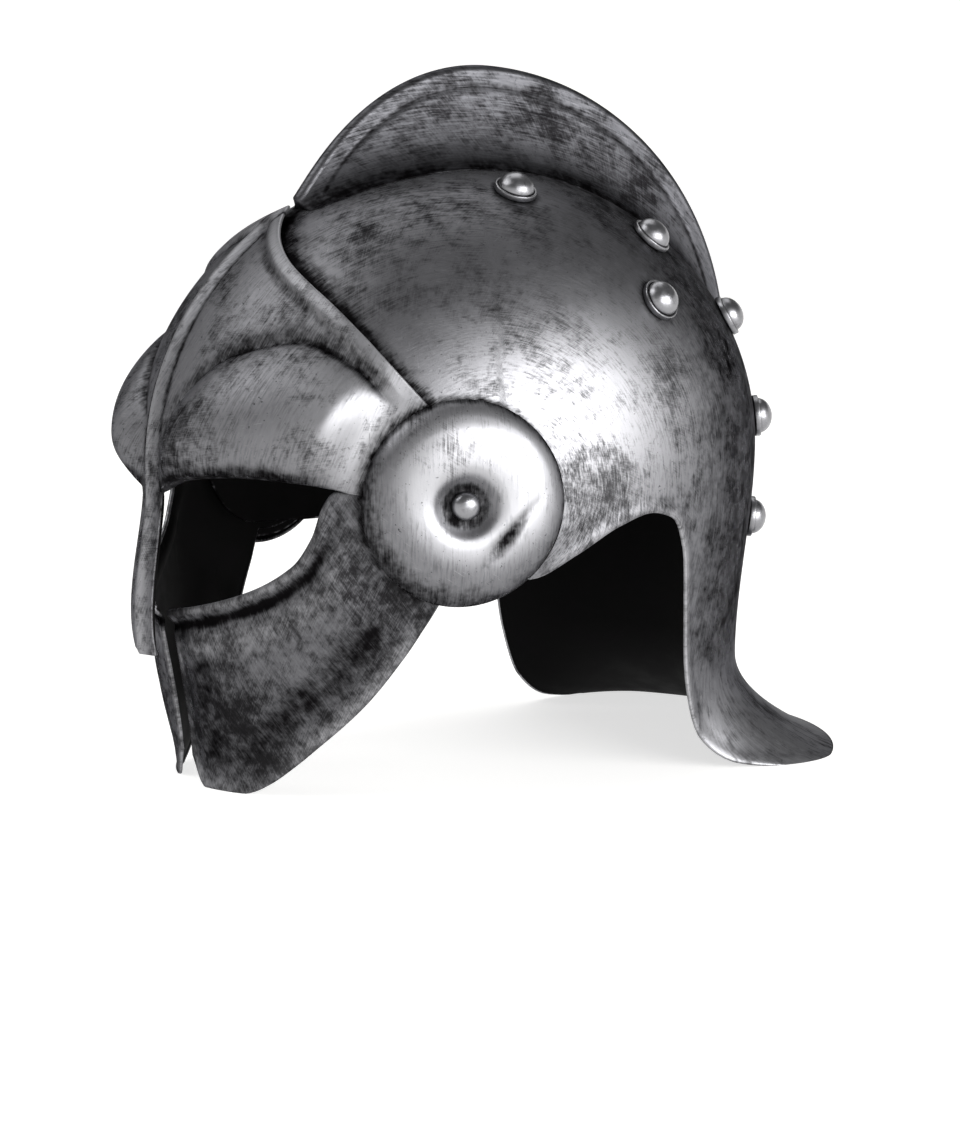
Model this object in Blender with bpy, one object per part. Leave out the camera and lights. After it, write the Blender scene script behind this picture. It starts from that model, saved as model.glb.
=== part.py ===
"""A gladiator's helmet of sheet steel: bowl with ear arches and neck guard, comb, brow plate with nasal,
two cheek plates, ear discs, and round-headed rivets.

The helmet stands on its cheek plates and neck guard. It faces -Y, the wearer's left is +X and +Z is up.
A heading is counted from the front, a quarter turn being the wearer's left. A polar angle is counted
from the crown: a quarter turn is the equator, where the dome ends and the upright wall begins.
All lengths are in metres.
"""

import math

import bmesh
import bpy
import numpy as np
from mathutils import Matrix, Vector

# Sheet and fits
WALL = 0.0016
SEAT_GAP = 0.0003
FACET_ROOM = 0.0012
LAYER = WALL + 1.6 * SEAT_GAP

# Bowl: a dome over an upright wall
BOWL_HALF_WIDTH = 0.102
BOWL_HALF_LENGTH = 0.135
EQUATOR_HEIGHT = 0.131
DOME_RISE = 0.119

# The wall draws in towards the face's chin and towards the nape
FACE_TOP = 0.115
CHEEK_INSET = 0.024
CHIN_INSET = 0.014
NAPE_HEIGHT = 0.040
NAPE_INSET = 0.008
NECK_SIDE_INSET = 0.006
FACE_BLEND = (math.radians(84), math.radians(112))

# Neck guard: the wall below the nape curls outwards
FLARE = 0.041
FLARE_BLEND = (math.radians(118), math.radians(148))

# Comb along the middle of the crown
COMB_HEIGHT = 0.041
COMB_HALF_WIDTH = 0.017
COMB_EDGE = 0.0032
COMB_END_HEIGHT = 0.006
COMB_END_HALF_WIDTH = 0.0055
COMB_CLOSED_END = 0.08
COMB_PEAK = 0.36
COMB_BACK = math.radians(70)
COMB_GAP = 0.0006

# Brow plate and its nasal
NASAL_TIP_HEIGHT = 0.058
NASAL_HALF_WIDTH = 0.0085
NASAL_SHOULDER = math.radians(1.8)
NASAL_SPREAD = 0.55
NASAL_REACH = 0.011
KEEL_HEIGHT = 0.0025
KEEL_HALF_WIDTH = 0.009
BROW_BULGE = 0.011
BORDER_HEIGHT = 0.0018
BORDER_WIDTH = 0.007

# Cheek plates
MOUTH_SLOT_HALF_WIDTH = 0.010
CHEEK_BULGE = 0.005

# Ear discs, and the round tabs of the plates below them
EAR_HEADING = math.radians(70)
EAR_HEIGHT = 0.122
EAR_TURN = 1.29 * BOWL_HALF_WIDTH
DISC_RADIUS = 0.0395
DISC_DOME = 0.0065
DISC_HUB = 0.0020
TAB_STEP = 0.003

# Rivets
EAR_RIVET_RADIUS = 0.0062
EAR_RIVET_HEIGHT = 0.0050
TAB_RIVET_FORWARD = 0.020
STUD_RADIUS = 0.0088
STUD_HEIGHT = 0.0080
COLLAR_HEIGHT = 0.0024
COLLAR_STEP = 0.0012
SHANK_RADIUS = 0.0025
CLENCH_RADIUS = 0.0048
CLENCH_HEIGHT = 0.0016
# Outlines. Columns: heading in degrees, height as a share of EQUATOR_HEIGHT
BOWL_RIM = (
    (0, 1.05), (46, 1.05), (52, 0.94), (60, 0.75), (66, 0.70), (83, 0.69), (91, 0.755), (100, 0.835),
    (107, 0.865), (113, 0.84), (117, 0.73), (119.5, 0.52), (121.5, 0.29), (125, 0.11), (131, 0.02),
    (140, -0.015), (180, -0.015),
)
BROW_UPPER_EDGE = (
    (0, 1.76), (10, 1.71), (25, 1.62), (40, 1.52), (50, 1.42), (58, 1.31), (66, 1.18), (73, 1.05), (80, 0.93),
    (90, 0.93),
)
BROW_LOWER_EDGE = (
    (0, 0.92), (6, 0.93), (16, 0.98), (30, 1.00), (42, 0.99), (53, 0.965), (62, 0.95), (72, 0.93), (90, 0.93),
)
CHEEK_UPPER_EDGE = (
    (0, 0.55), (8, 0.57), (18, 0.60), (30, 0.655), (39.5, 0.74), (43.5, 0.83), (45.5, 0.92), (48, 0.965),
    (53, 0.955), (62, 0.94), (72, 0.93), (90, 0.93),
)
CHEEK_LOWER_EDGE = (
    (0, 0.16), (5, 0.08), (8.2, 0.015), (10.5, -0.006), (14, -0.02), (19, -0.014), (23, -0.003), (27, 0.012),
    (32, 0.045), (37, 0.093), (42, 0.15), (53, 0.30), (61, 0.47), (67, 0.65), (72, 0.81), (77, 0.93), (90, 0.93),
)
# Crease above the brow ridges. Columns: heading in degrees, height as a share of EQUATOR_HEIGHT
BROW_CREASE = ((0, 1.06), (8, 1.17), (22, 1.35), (38, 1.40), (50, 1.33), (60, 1.18), (68, 1.02), (90, 0.93))
# Crown rivets of one side. Columns: heading and polar angle in degrees
CROWN_STUDS = ((97, 24), (139, 42), (154, 63), (160, 85), (161, 106), (119, 57))
# Comb section. Columns: share of the way up, half width as a share of the base's
COMB_SECTION = ((0.0, 1.0), (0.12, 0.71), (0.32, 0.43), (0.65, 0.17), (1.0, 0.0))
# Ear disc section. Columns: radius as a share of DISC_RADIUS, height as a share of DISC_DOME
DISC_SECTION = ((0.32, 0.82), (0.55, 1.0), (0.76, 0.86), (0.92, 0.42), (1.0, 0.0))

# Facets
BOWL_COLUMNS = 60
BOWL_ROWS = 14
BROW_COLUMNS = 22
BROW_ROWS = 8
CHEEK_COLUMNS = 16
CHEEK_ROWS = 6
COMB_STATIONS = 20
DISC_SEGMENTS = 16
RIVET_SEGMENTS = 9
FINE = 3000

QUARTER = math.pi / 2
STEEL = {"colour": (0.30, 0.30, 0.31), "roughness": 0.38}
BRIGHT_STEEL = {"colour": (0.62, 0.62, 0.63), "roughness": 0.22}
root = None


def smooth(share):
    """0 below 0, 1 above 1, and an even S between them."""
    share = np.clip(share, 0.0, 1.0)
    return share * share * (3.0 - 2.0 * share)


def curve_through(at, table):
    """A smooth curve through a table's rows that never swings past them (a monotone cubic)."""
    x, y = np.array(table, float).T
    step, slope = np.diff(x), np.diff(y) / np.diff(x)
    tangent = np.zeros(len(x))
    before, after = slope[:-1], slope[1:]
    keeps = before * after > 0
    tangent[1:-1][keeps] = 2 * before[keeps] * after[keeps] / (before[keeps] + after[keeps])
    tangent[0], tangent[-1] = slope[0], slope[-1]
    at = np.clip(at, x[0], x[-1])
    left = np.clip(np.searchsorted(x, at, side="right") - 1, 0, len(step) - 1)
    width = step[left]
    share = (at - x[left]) / width
    rise = y[left + 1] - y[left]
    start, end = tangent[left] * width, tangent[left + 1] * width
    cubic = start + end - 2 * rise
    square = 3 * rise - 2 * start - end
    return y[left] + share * (start + share * (square + share * cubic))


def edge_height(heading, table):
    """Height of an outline at a heading, the same on both sides."""
    return EQUATOR_HEIGHT * curve_through(np.degrees(np.abs(heading)), table)


def height_of(polar):
    """Height of the form: a dome down to the equator, then an upright wall."""
    dome = EQUATOR_HEIGHT + DOME_RISE * np.cos(np.minimum(polar, QUARTER))
    return dome - DOME_RISE * np.maximum(np.asarray(polar) - QUARTER, 0.0)


def polar_of(height):
    """The polar angle at which the form has this height."""
    share = (np.asarray(height, float) - EQUATOR_HEIGHT) / DOME_RISE
    return np.where(share > 0, np.arccos(np.clip(share, 0.0, 1.0)), QUARTER - np.minimum(share, 0.0))


def form(heading, polar):
    """Points of the bowl's outer surface, which every plate follows: ellipses, drawn in at chin and nape,
    with the neck guard's curl added outwards."""
    heading, polar = np.broadcast_arrays(np.asarray(heading, float), np.asarray(polar, float))
    height = height_of(polar)
    turned = np.abs(heading)
    reach = np.sin(np.minimum(polar, QUARTER))
    behind = smooth((turned - FACE_BLEND[0]) / (FACE_BLEND[1] - FACE_BLEND[0]))
    face = (1 - behind) * smooth((FACE_TOP - height) / FACE_TOP)
    nape = behind * smooth((EQUATOR_HEIGHT - height) / (EQUATOR_HEIGHT - NAPE_HEIGHT))
    half_width = BOWL_HALF_WIDTH - CHEEK_INSET * face - NECK_SIDE_INSET * nape
    half_length = BOWL_HALF_LENGTH - CHIN_INSET * face - NAPE_INSET * nape
    across, along = np.sin(heading) / half_width, -np.cos(heading) / half_length
    size = np.hypot(across, along)
    below_nape = np.maximum(NAPE_HEIGHT - height, 0.0) / NAPE_HEIGHT
    curl = FLARE * smooth((turned - FLARE_BLEND[0]) / (FLARE_BLEND[1] - FLARE_BLEND[0])) * below_nape**2
    x = reach * half_width * np.sin(heading) + curl * across / size
    y = -reach * half_length * np.cos(heading) + curl * along / size
    return np.stack([x, y, height], axis=-1)


def form_normal(heading, polar):
    """Outward unit normal of the form, from two short steps along it."""
    step = 1e-4
    round_it = form(heading + step, polar) - form(heading - step, polar)
    down_it = form(heading, polar + step) - form(heading, polar - step)
    normal = np.cross(down_it, round_it)
    return normal / np.linalg.norm(normal, axis=-1, keepdims=True)


def form_above(heading, polar, above):
    """Points at a distance above the form."""
    return form(heading, polar) + form_normal(heading, polar) * np.asarray(above)[..., None]


def dome_point(sagittal, across):
    """Point and normal of the dome, at an angle from the crown in the middle plane, the back being positive,
    and a distance across it."""
    flat = np.sqrt(1 - (across / BOWL_HALF_WIDTH) ** 2)
    along = BOWL_HALF_LENGTH * np.sin(sagittal) * flat
    up = DOME_RISE * np.cos(sagittal) * flat
    normal = np.stack([across / BOWL_HALF_WIDTH**2, along / BOWL_HALF_LENGTH**2, up / DOME_RISE**2], axis=-1)
    normal /= np.linalg.norm(normal, axis=-1, keepdims=True)
    return np.stack([across + 0 * along, along, EQUATOR_HEIGHT + up], axis=-1), normal


def metal(name, steel):
    """A Principled BSDF of the piece's own."""
    material = bpy.data.materials.new(name)
    material.use_nodes = True
    shader = material.node_tree.nodes["Principled BSDF"]
    shader.inputs["Base Color"].default_value = (*steel["colour"], 1.0)
    shader.inputs["Metallic"].default_value = 1.0
    shader.inputs["Roughness"].default_value = steel["roughness"]
    return material


def add_object(name, mesh, steel):
    """Links a smooth-shaded mesh as a named piece of the helmet."""
    mesh.shade_smooth()
    mesh.set_sharp_from_angle(angle=math.radians(40))
    mesh.materials.append(metal(name, steel))
    piece = bpy.data.objects.new(name, mesh)
    bpy.context.scene.collection.objects.link(piece)
    piece.parent = root
    return piece


def sheet_from_grid(name, points, closed=False, steel=STEEL):
    """A sheet of quads over a grid of points, rows by columns, with its outer side up; closed joins the
    last column to the first. Coincident points, as at a pole, become one."""
    rows, columns = points.shape[:2]
    index = np.arange(rows * columns).reshape(rows, columns)
    if closed:
        index = np.hstack([index, index[:, :1]])
    corners = (index[:-1, :-1], index[1:, :-1], index[1:, 1:], index[:-1, 1:])
    faces = np.stack([corner.ravel() for corner in corners], axis=1)
    mesh = bpy.data.meshes.new(name)
    mesh.from_pydata(points.reshape(-1, 3).tolist(), [], faces.tolist())
    built = bmesh.new()
    built.from_mesh(mesh)
    bmesh.ops.remove_doubles(built, verts=built.verts, dist=1e-6)
    bmesh.ops.dissolve_degenerate(built, edges=built.edges, dist=1e-6)
    built.to_mesh(mesh)
    built.free()
    return add_object(name, mesh, steel)


def solid_between(name, outer, inner, steel=STEEL):
    """A closed solid between an outer and an inner grid of points, joined round their borders."""
    rows, columns = outer.shape[:2]
    index = np.arange(rows * columns).reshape(rows, columns)
    corners = (index[:-1, :-1], index[1:, :-1], index[1:, 1:], index[:-1, 1:])
    top = np.stack([corner.ravel() for corner in corners], axis=1)
    border = np.concatenate([index[0, :-1], index[:-1, -1], index[-1, :0:-1], index[:0:-1, 0]])
    onward = np.roll(border, -1)
    below = rows * columns
    side = np.stack([border, onward, onward + below, border + below], axis=1)
    faces = np.concatenate([top, top[:, ::-1] + below, side])
    mesh = bpy.data.meshes.new(name)
    points = np.concatenate([outer.reshape(-1, 3), inner.reshape(-1, 3)])
    mesh.from_pydata(points.tolist(), [], faces.tolist())
    return add_object(name, mesh, steel)


def thicken(sheet):
    """Gives a sheet its wall, on the inner side."""
    wall = sheet.modifiers.new("wall", "SOLIDIFY")
    wall.thickness = WALL
    wall.offset = -1.0
    wall.use_even_offset = True


def turned_piece(name, profile, segments, steel):
    """Spins a profile of (radius, height) pairs round Z into a closed solid."""
    built = bmesh.new()
    chain = [built.verts.new((radius, 0.0, height)) for radius, height in profile]
    edges = [built.edges.new(pair) for pair in zip(chain, chain[1:])]
    bmesh.ops.spin(
        built,
        geom=chain + edges,
        cent=(0, 0, 0),
        axis=(0, 0, 1),
        angle=2 * math.pi,
        steps=segments,
        use_merge=True,
    )
    bmesh.ops.remove_doubles(built, verts=built.verts, dist=1e-6)
    bmesh.ops.recalc_face_normals(built, faces=built.faces)
    mesh = bpy.data.meshes.new(name)
    built.to_mesh(mesh)
    built.free()
    return add_object(name, mesh, steel)


def as_cutter(piece):
    """Hides a helper that only cuts."""
    piece.hide_render = True
    piece.display_type = "WIRE"
    return piece


def cut(piece, cutter):
    """Cuts one piece by another."""
    trim = piece.modifiers.new("cut " + cutter.name, "BOOLEAN")
    trim.operation = "DIFFERENCE"
    trim.solver = "EXACT"
    trim.object = cutter


def stand_on(piece, point, normal):
    """Puts a turned piece's Z axis on a surface's normal."""
    turn = Vector(normal).to_track_quat("Z", "Y").to_matrix().to_4x4()
    piece.matrix_local = Matrix.Translation(Vector(point)) @ turn


def drill(pieces, name, point, normal):
    """A hole for a rivet's shank through each of these pieces."""
    radius, reach = SHANK_RADIUS + SEAT_GAP, 8 * LAYER + DISC_DOME
    drill_bit = turned_piece(
        name, ((0, -reach), (radius, -reach), (radius, reach), (0, reach)), RIVET_SEGMENTS, STEEL
    )
    as_cutter(drill_bit)
    stand_on(drill_bit, point, normal)
    for piece in pieces:
        cut(piece, drill_bit)


def rivet(name, point, normal, head, grip, steel=BRIGHT_STEEL):
    """A rivet with this head profile on a surface, its shank through the grip and its clenched end inside."""
    inner = -(grip + FACET_ROOM)
    profile = (
        (0, inner - CLENCH_HEIGHT), (CLENCH_RADIUS, inner - CLENCH_HEIGHT), (CLENCH_RADIUS, inner),
        (SHANK_RADIUS, inner), (SHANK_RADIUS, SEAT_GAP), *head,
    )
    stand_on(turned_piece(name, profile, RIVET_SEGMENTS, steel), point, normal)


def domed_head(radius, height, foot=SEAT_GAP, rings=3):
    """Profile of a round head above its foot: a quarter ellipse from the edge to the middle."""
    turns = np.linspace(0, QUARTER, rings + 1)[:-1]
    round_side = [(radius * math.cos(turn), foot + (height - foot) * math.sin(turn)) for turn in turns]
    return [*round_side, (0.0, height)]


def collared_head():
    """Profile of a crown rivet: a flat collar, and a dome on it."""
    return [
        (STUD_RADIUS, SEAT_GAP),
        (STUD_RADIUS, COLLAR_HEIGHT),
        *domed_head(STUD_RADIUS - COLLAR_STEP, STUD_HEIGHT, foot=COLLAR_HEIGHT),
    ]


def build_bowl():
    """The bowl: each column runs from the crown down to the rim, and columns crowd where the rim is steep."""
    heading = np.linspace(-math.pi, math.pi, FINE)
    rim = edge_height(heading, BOWL_RIM)
    length = np.hypot(BOWL_HALF_LENGTH * np.gradient(heading), 0.6 * np.gradient(rim))
    walked = np.cumsum(length) - length[0]
    stops = np.linspace(0, walked[-1], BOWL_COLUMNS + 1)[:-1]
    rim_heading = np.interp(stops, walked, heading)
    even_heading = np.linspace(-math.pi, math.pi, BOWL_COLUMNS + 1)[:-1]
    rim_polar = polar_of(edge_height(rim_heading, BOWL_RIM))
    down = np.linspace(0, 1, BOWL_ROWS + 1)[:, None]
    headings = even_heading + (rim_heading - even_heading) * down**1.5
    points = form(headings, rim_polar * down)
    bowl = sheet_from_grid("skull_bowl", points, closed=True)
    thicken(bowl)
    return bowl


def comb_profile(height, half_width):
    """Half a comb section, from the base's edge to the top: (across, up) pairs with a rounded edge."""
    edge = min(COMB_EDGE, 0.45 * height, 0.6 * half_width)
    up, across = np.array(COMB_SECTION).T
    turns = np.linspace(0, QUARTER, 3)[1:]
    side = np.stack([edge + (half_width - edge) * across, (height - edge) * up], axis=1)
    round_top = np.stack([edge * np.cos(turns), height - edge + edge * np.sin(turns)], axis=1)
    return np.concatenate([side, round_top])


def comb_start():
    """Angle from the crown at which the comb begins, just behind the brow plate's peak."""
    peak = float(polar_of(edge_height(0.0, BROW_UPPER_EDGE)))
    return -(peak - (COMB_GAP + 2 * WALL) / DOME_RISE)


def build_comb():
    """The comb: hollow, open towards the bowl, highest before the crown and thinning towards the back."""
    stations = np.linspace(0, 1, COMB_STATIONS)
    angles = comb_start() + (COMB_BACK - comb_start()) * stations
    forward, backward = stations / COMB_PEAK, (stations - COMB_PEAK) / (1 - COMB_PEAK)
    rise = np.where(stations < COMB_PEAK, np.sin(QUARTER * forward) ** 1.1, np.cos(QUARTER * backward) ** 1.1)
    swell = np.sin(math.pi * stations**0.60) ** 0.8
    heights = COMB_END_HEIGHT + (COMB_HEIGHT - COMB_END_HEIGHT) * rise
    widths = COMB_END_HALF_WIDTH + (COMB_HALF_WIDTH - COMB_END_HALF_WIDTH) * swell
    hollow = smooth(stations / COMB_CLOSED_END - 0.5) * smooth((1 - stations) / COMB_CLOSED_END - 0.5)
    outer, inner = [], []
    for angle, height, width, share in zip(angles, heights, widths, hollow):
        across, up = comb_profile(height, width).T
        across = np.concatenate([across, -across[-2::-1]])
        up = np.concatenate([up, up[-2::-1]])
        within = np.sign(across) * np.maximum(np.abs(across) - 1.2 * WALL, 0.3 * np.abs(across))
        below = up * share * (height - 1.6 * WALL) / height
        _, rising = dome_point(angle, 0.0)
        for rows, side, top in ((outer, across, up), (inner, within, below)):
            foot, _ = dome_point(angle, side)
            rows.append(foot + rising * (top + SEAT_GAP)[:, None])
    solid_between("crest_comb", np.array(outer), np.array(inner))


def ear_distance(heading, height):
    """Distance over the surface from the ear's middle."""
    return np.hypot((np.abs(heading) - EAR_HEADING) * EAR_TURN, height - EAR_HEIGHT)


def clear_of_disc(heading, height):
    """0 below the ear disc, where plates lie flat, and 1 well away from it."""
    return smooth((ear_distance(heading, height) / DISC_RADIUS - 1.12) / 0.5)


def tab_reach(heading, radius):
    """Half the height of a plate's round tab at a heading, or a large negative number off the tab."""
    round_it = (np.abs(heading) - EAR_HEADING) * EAR_TURN
    return np.where(np.abs(round_it) < radius, np.sqrt(np.maximum(radius**2 - round_it**2, 0.0)), -1.0)


def with_tab(heading, upper, lower, radius):
    """A plate's two edges joined with its round tab at the ear."""
    reach = tab_reach(heading, radius)
    return np.maximum(upper, EAR_HEIGHT + reach), np.minimum(lower, EAR_HEIGHT - reach)


def tab_end(radius):
    """Heading at which a plate's round tab ends."""
    return EAR_HEADING + 0.985 * radius / EAR_TURN


def brow_edges(heading):
    """Upper and lower edge of the brow plate: a peak above the forehead, brows, nasal and ear tabs."""
    upper = edge_height(heading, BROW_UPPER_EDGE)
    brow = edge_height(heading, BROW_LOWER_EDGE)
    nasal = NASAL_HALF_WIDTH / BOWL_HALF_LENGTH
    lower = NASAL_TIP_HEIGHT + (brow - NASAL_TIP_HEIGHT) * smooth((np.abs(heading) - nasal) / NASAL_SHOULDER)
    return with_tab(heading, upper, lower, DISC_RADIUS - TAB_STEP)


def cheek_edges(heading):
    """Upper and lower edge of a cheek plate: the eye's lower side, the jaw and the ear tab."""
    upper = edge_height(heading, CHEEK_UPPER_EDGE)
    lower = edge_height(heading, CHEEK_LOWER_EDGE)
    return with_tab(heading, upper, lower, DISC_RADIUS - 2 * TAB_STEP)


def crowded_headings(edges, start, end, count):
    """Headings from start to end that crowd where either edge is steep."""
    heading = np.linspace(start, end, FINE)
    upper, lower = edges(heading)
    climb = np.abs(np.gradient(upper)) + np.abs(np.gradient(lower))
    length = BOWL_HALF_LENGTH * np.gradient(heading) + 0.7 * climb
    walked = np.cumsum(length) - length[0]
    return np.interp(np.linspace(0, walked[-1], count + 1), walked, heading)


def share_down_nasal(heading, height):
    """0 on the brow and 1 at the height of the nasal's tip."""
    below = (edge_height(heading, BROW_LOWER_EDGE) - height) / (EQUATOR_HEIGHT - NASAL_TIP_HEIGHT)
    on_nasal = np.abs(heading) < NASAL_HALF_WIDTH / BOWL_HALF_LENGTH + NASAL_SHOULDER
    return np.clip(below, 0.0, 1.0) * on_nasal


def brow_relief(heading, height):
    """How far the brow plate stands above its seat: border, brow ridges, keel and nasal."""
    turned = np.abs(heading)
    clear = clear_of_disc(heading, height)
    upper, lower = brow_edges(heading)
    border = BORDER_HEIGHT * (1 - smooth((upper - height) / BORDER_WIDTH - 0.4)) * clear
    brow = edge_height(heading, BROW_LOWER_EDGE)
    crease = edge_height(heading, BROW_CREASE)
    up_the_brow = np.clip((height - brow) / (crease - brow), 0.0, 1.0)
    ridge = BROW_BULGE * np.sin(math.pi * up_the_brow**0.75) ** 0.9 * clear
    ridge = ridge * smooth(turned / math.radians(12) - 0.25)
    across = turned * BOWL_HALF_LENGTH
    keel = KEEL_HEIGHT * np.maximum(1 - across / KEEL_HALF_WIDTH, 0.0)
    nasal = NASAL_REACH * smooth(1.2 * share_down_nasal(heading, height))
    return border + ridge + keel + nasal


def brow_seat(heading):
    """Offset of the brow plate's outer side: on the bowl at the forehead, over the cheek plate at the ear."""
    share = smooth((np.abs(heading) - math.radians(38)) / math.radians(11))
    return LAYER * (1 + share) + SEAT_GAP * (1 - share)


def build_brow_plate():
    """Brow plate, from ear to ear, with its nasal."""
    half = crowded_headings(brow_edges, 0.0, tab_end(DISC_RADIUS - TAB_STEP), BROW_COLUMNS)
    heading = np.concatenate([-half[:0:-1], half])
    upper, lower = brow_edges(heading)
    down = np.linspace(0, 1, BROW_ROWS + 1)[:, None] ** 0.9
    polar = polar_of(upper) + (polar_of(lower) - polar_of(upper)) * down
    headings = np.broadcast_to(heading, polar.shape)
    height = height_of(polar)
    points = form_above(headings, polar, brow_seat(headings) + brow_relief(headings, height))
    points[..., 0] *= 1 + NASAL_SPREAD * share_down_nasal(headings, height)
    plate = sheet_from_grid("brow_plate", points)
    thicken(plate)
    return plate


def build_cheek_plate(side):
    """One cheek plate; side is 1 for the wearer's left and -1 for the right."""
    start = MOUTH_SLOT_HALF_WIDTH / BOWL_HALF_LENGTH
    heading = crowded_headings(cheek_edges, start, tab_end(DISC_RADIUS - 2 * TAB_STEP), CHEEK_COLUMNS)
    upper, lower = cheek_edges(heading)
    down = np.linspace(0, 1, CHEEK_ROWS + 1)[:, None]
    polar = polar_of(upper) + (polar_of(lower) - polar_of(upper)) * down
    headings = np.broadcast_to(heading, polar.shape)
    height = height_of(polar)
    bulge = CHEEK_BULGE * np.sin(math.pi * down) * clear_of_disc(headings, height)
    bulge = bulge * smooth((headings - start) / math.radians(10))
    points = form_above(headings, polar, LAYER + bulge)
    if side < 0:
        points = points[:, ::-1] * (-1, 1, 1)
    plate = sheet_from_grid("cheek_plate_left" if side > 0 else "cheek_plate_right", points)
    thicken(plate)
    return plate


def build_ear_disc(side):
    """Domed disc over the plates' tabs, following the bowl's curve, with a flat hub for its rivet."""
    shares, domes = np.array(DISC_SECTION).T
    radii = DISC_RADIUS * np.concatenate([[0.0, 0.20], shares])
    above = np.concatenate([[DISC_HUB, DISC_HUB], DISC_DOME * domes])
    turns = np.linspace(0, 2 * math.pi, DISC_SEGMENTS + 1)[:-1]
    heading = EAR_HEADING + radii[:, None] * np.cos(turns) / EAR_TURN
    height = EAR_HEIGHT + radii[:, None] * np.sin(turns)
    points = form_above(heading, polar_of(height), 3 * LAYER + above[:, None] + 0 * heading)
    if side < 0:
        points = points[:, ::-1] * (-1, 1, 1)
    disc = sheet_from_grid("ear_disc_left" if side > 0 else "ear_disc_right", points, closed=True)
    thicken(disc)
    return disc


def floor_cutter():
    """A block whose top is the floor, to level what stands on it."""
    side, depth = 4 * BOWL_HALF_LENGTH, EQUATOR_HEIGHT
    built = bmesh.new()
    bmesh.ops.create_cube(built, size=1.0)
    below_floor = Matrix.Diagonal((side, side, depth, 1)) @ Matrix.Translation((0, 0, -0.5))
    bmesh.ops.transform(built, verts=built.verts, matrix=below_floor)
    mesh = bpy.data.meshes.new("floor_cutter")
    built.to_mesh(mesh)
    built.free()
    return as_cutter(add_object("floor_cutter", mesh, STEEL))


def on_ear(side, forward):
    """Point and normal of the form at the ear, or a distance in front of its middle."""
    heading = EAR_HEADING - forward / EAR_TURN
    polar = polar_of(EAR_HEIGHT)
    mirror = np.array((side, 1, 1))
    return form(heading, polar) * mirror, form_normal(heading, polar) * mirror


def build_ear(side, bowl, brow_plate, cheek_plate):
    """Ear disc, the rivet that holds bowl, cheek plate, brow plate and disc together, and a flat rivet under
    the disc that keeps the plates from turning."""
    name = "left" if side > 0 else "right"
    disc = build_ear_disc(side)
    point, normal = on_ear(side, 0.0)
    drill((bowl, cheek_plate, brow_plate, disc), "ear_drill_" + name, point, normal)
    top = 3 * LAYER + DISC_HUB
    head = domed_head(EAR_RIVET_RADIUS, EAR_RIVET_HEIGHT)
    rivet("ear_rivet_" + name, point + normal * top, normal, head, top + WALL)
    point, normal = on_ear(side, TAB_RIVET_FORWARD)
    drill((bowl, cheek_plate, brow_plate), "tab_drill_" + name, point, normal)
    top = 2 * LAYER
    head_top = SEAT_GAP + CLENCH_HEIGHT
    head = ((CLENCH_RADIUS, SEAT_GAP), (CLENCH_RADIUS, head_top), (0.0, head_top))
    rivet("tab_rivet_" + name, point + normal * top, normal, head, top + WALL, STEEL)


def build_studs(bowl):
    """Round-headed rivets on the crown, beside the comb and behind the ears."""
    for side, name in ((1, "left"), (-1, "right")):
        mirror = np.array((side, 1, 1))
        for number, (heading, polar) in enumerate(np.radians(CROWN_STUDS), start=1):
            point, normal = form(heading, polar) * mirror, form_normal(heading, polar) * mirror
            drill((bowl,), f"stud_drill_{name}_{number}", point, normal)
            rivet(f"crown_stud_{name}_{number}", point, normal, collared_head(), WALL)


def centre_over_origin():
    """Moves the helmet so that the origin is below the middle of its length, on the floor."""
    bpy.context.view_layer.update()
    graph = bpy.context.evaluated_depsgraph_get()
    reach = []
    for piece in bpy.context.scene.objects:
        if piece.type == "MESH" and not piece.hide_render:
            evaluated = piece.evaluated_get(graph)
            reach += [(evaluated.matrix_world @ vertex.co).y for vertex in evaluated.data.vertices]
    root.location.y = -(min(reach) + max(reach)) / 2


def main():
    global root
    for old in list(bpy.data.objects):
        bpy.data.objects.remove(old)
    root = bpy.data.objects.new("helmet", None)
    bpy.context.scene.collection.objects.link(root)
    floor = floor_cutter()
    bowl = build_bowl()
    build_comb()
    brow_plate = build_brow_plate()
    cheeks = {side: build_cheek_plate(side) for side in (1, -1)}
    for piece in (bowl, *cheeks.values()):
        cut(piece, floor)
    for side, cheek_plate in cheeks.items():
        build_ear(side, bowl, brow_plate, cheek_plate)
    build_studs(bowl)
    centre_over_origin()


main()
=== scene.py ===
import math

import bpy
import numpy as np
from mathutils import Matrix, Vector


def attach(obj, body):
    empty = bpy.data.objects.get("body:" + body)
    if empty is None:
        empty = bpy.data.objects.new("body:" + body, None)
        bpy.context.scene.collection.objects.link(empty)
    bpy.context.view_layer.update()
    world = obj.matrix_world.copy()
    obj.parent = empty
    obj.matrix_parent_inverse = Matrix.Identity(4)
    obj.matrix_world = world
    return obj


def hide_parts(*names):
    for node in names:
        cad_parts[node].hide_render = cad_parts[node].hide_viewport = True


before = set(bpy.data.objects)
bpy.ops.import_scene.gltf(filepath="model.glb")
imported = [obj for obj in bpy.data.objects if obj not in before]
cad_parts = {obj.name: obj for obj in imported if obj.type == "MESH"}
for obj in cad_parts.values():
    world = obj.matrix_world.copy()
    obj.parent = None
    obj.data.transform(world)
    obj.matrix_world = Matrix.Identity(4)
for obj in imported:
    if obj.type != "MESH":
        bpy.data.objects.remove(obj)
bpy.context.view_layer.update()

# The helmet faces -Y, and the wearer's left is +X. A heading is counted from the front, a polar angle from
# the crown: a quarter turn is the equator, where the dome ends and the upright wall begins.
# Lengths are in metres.
quarter = math.pi / 2
mm = 0.001

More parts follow.
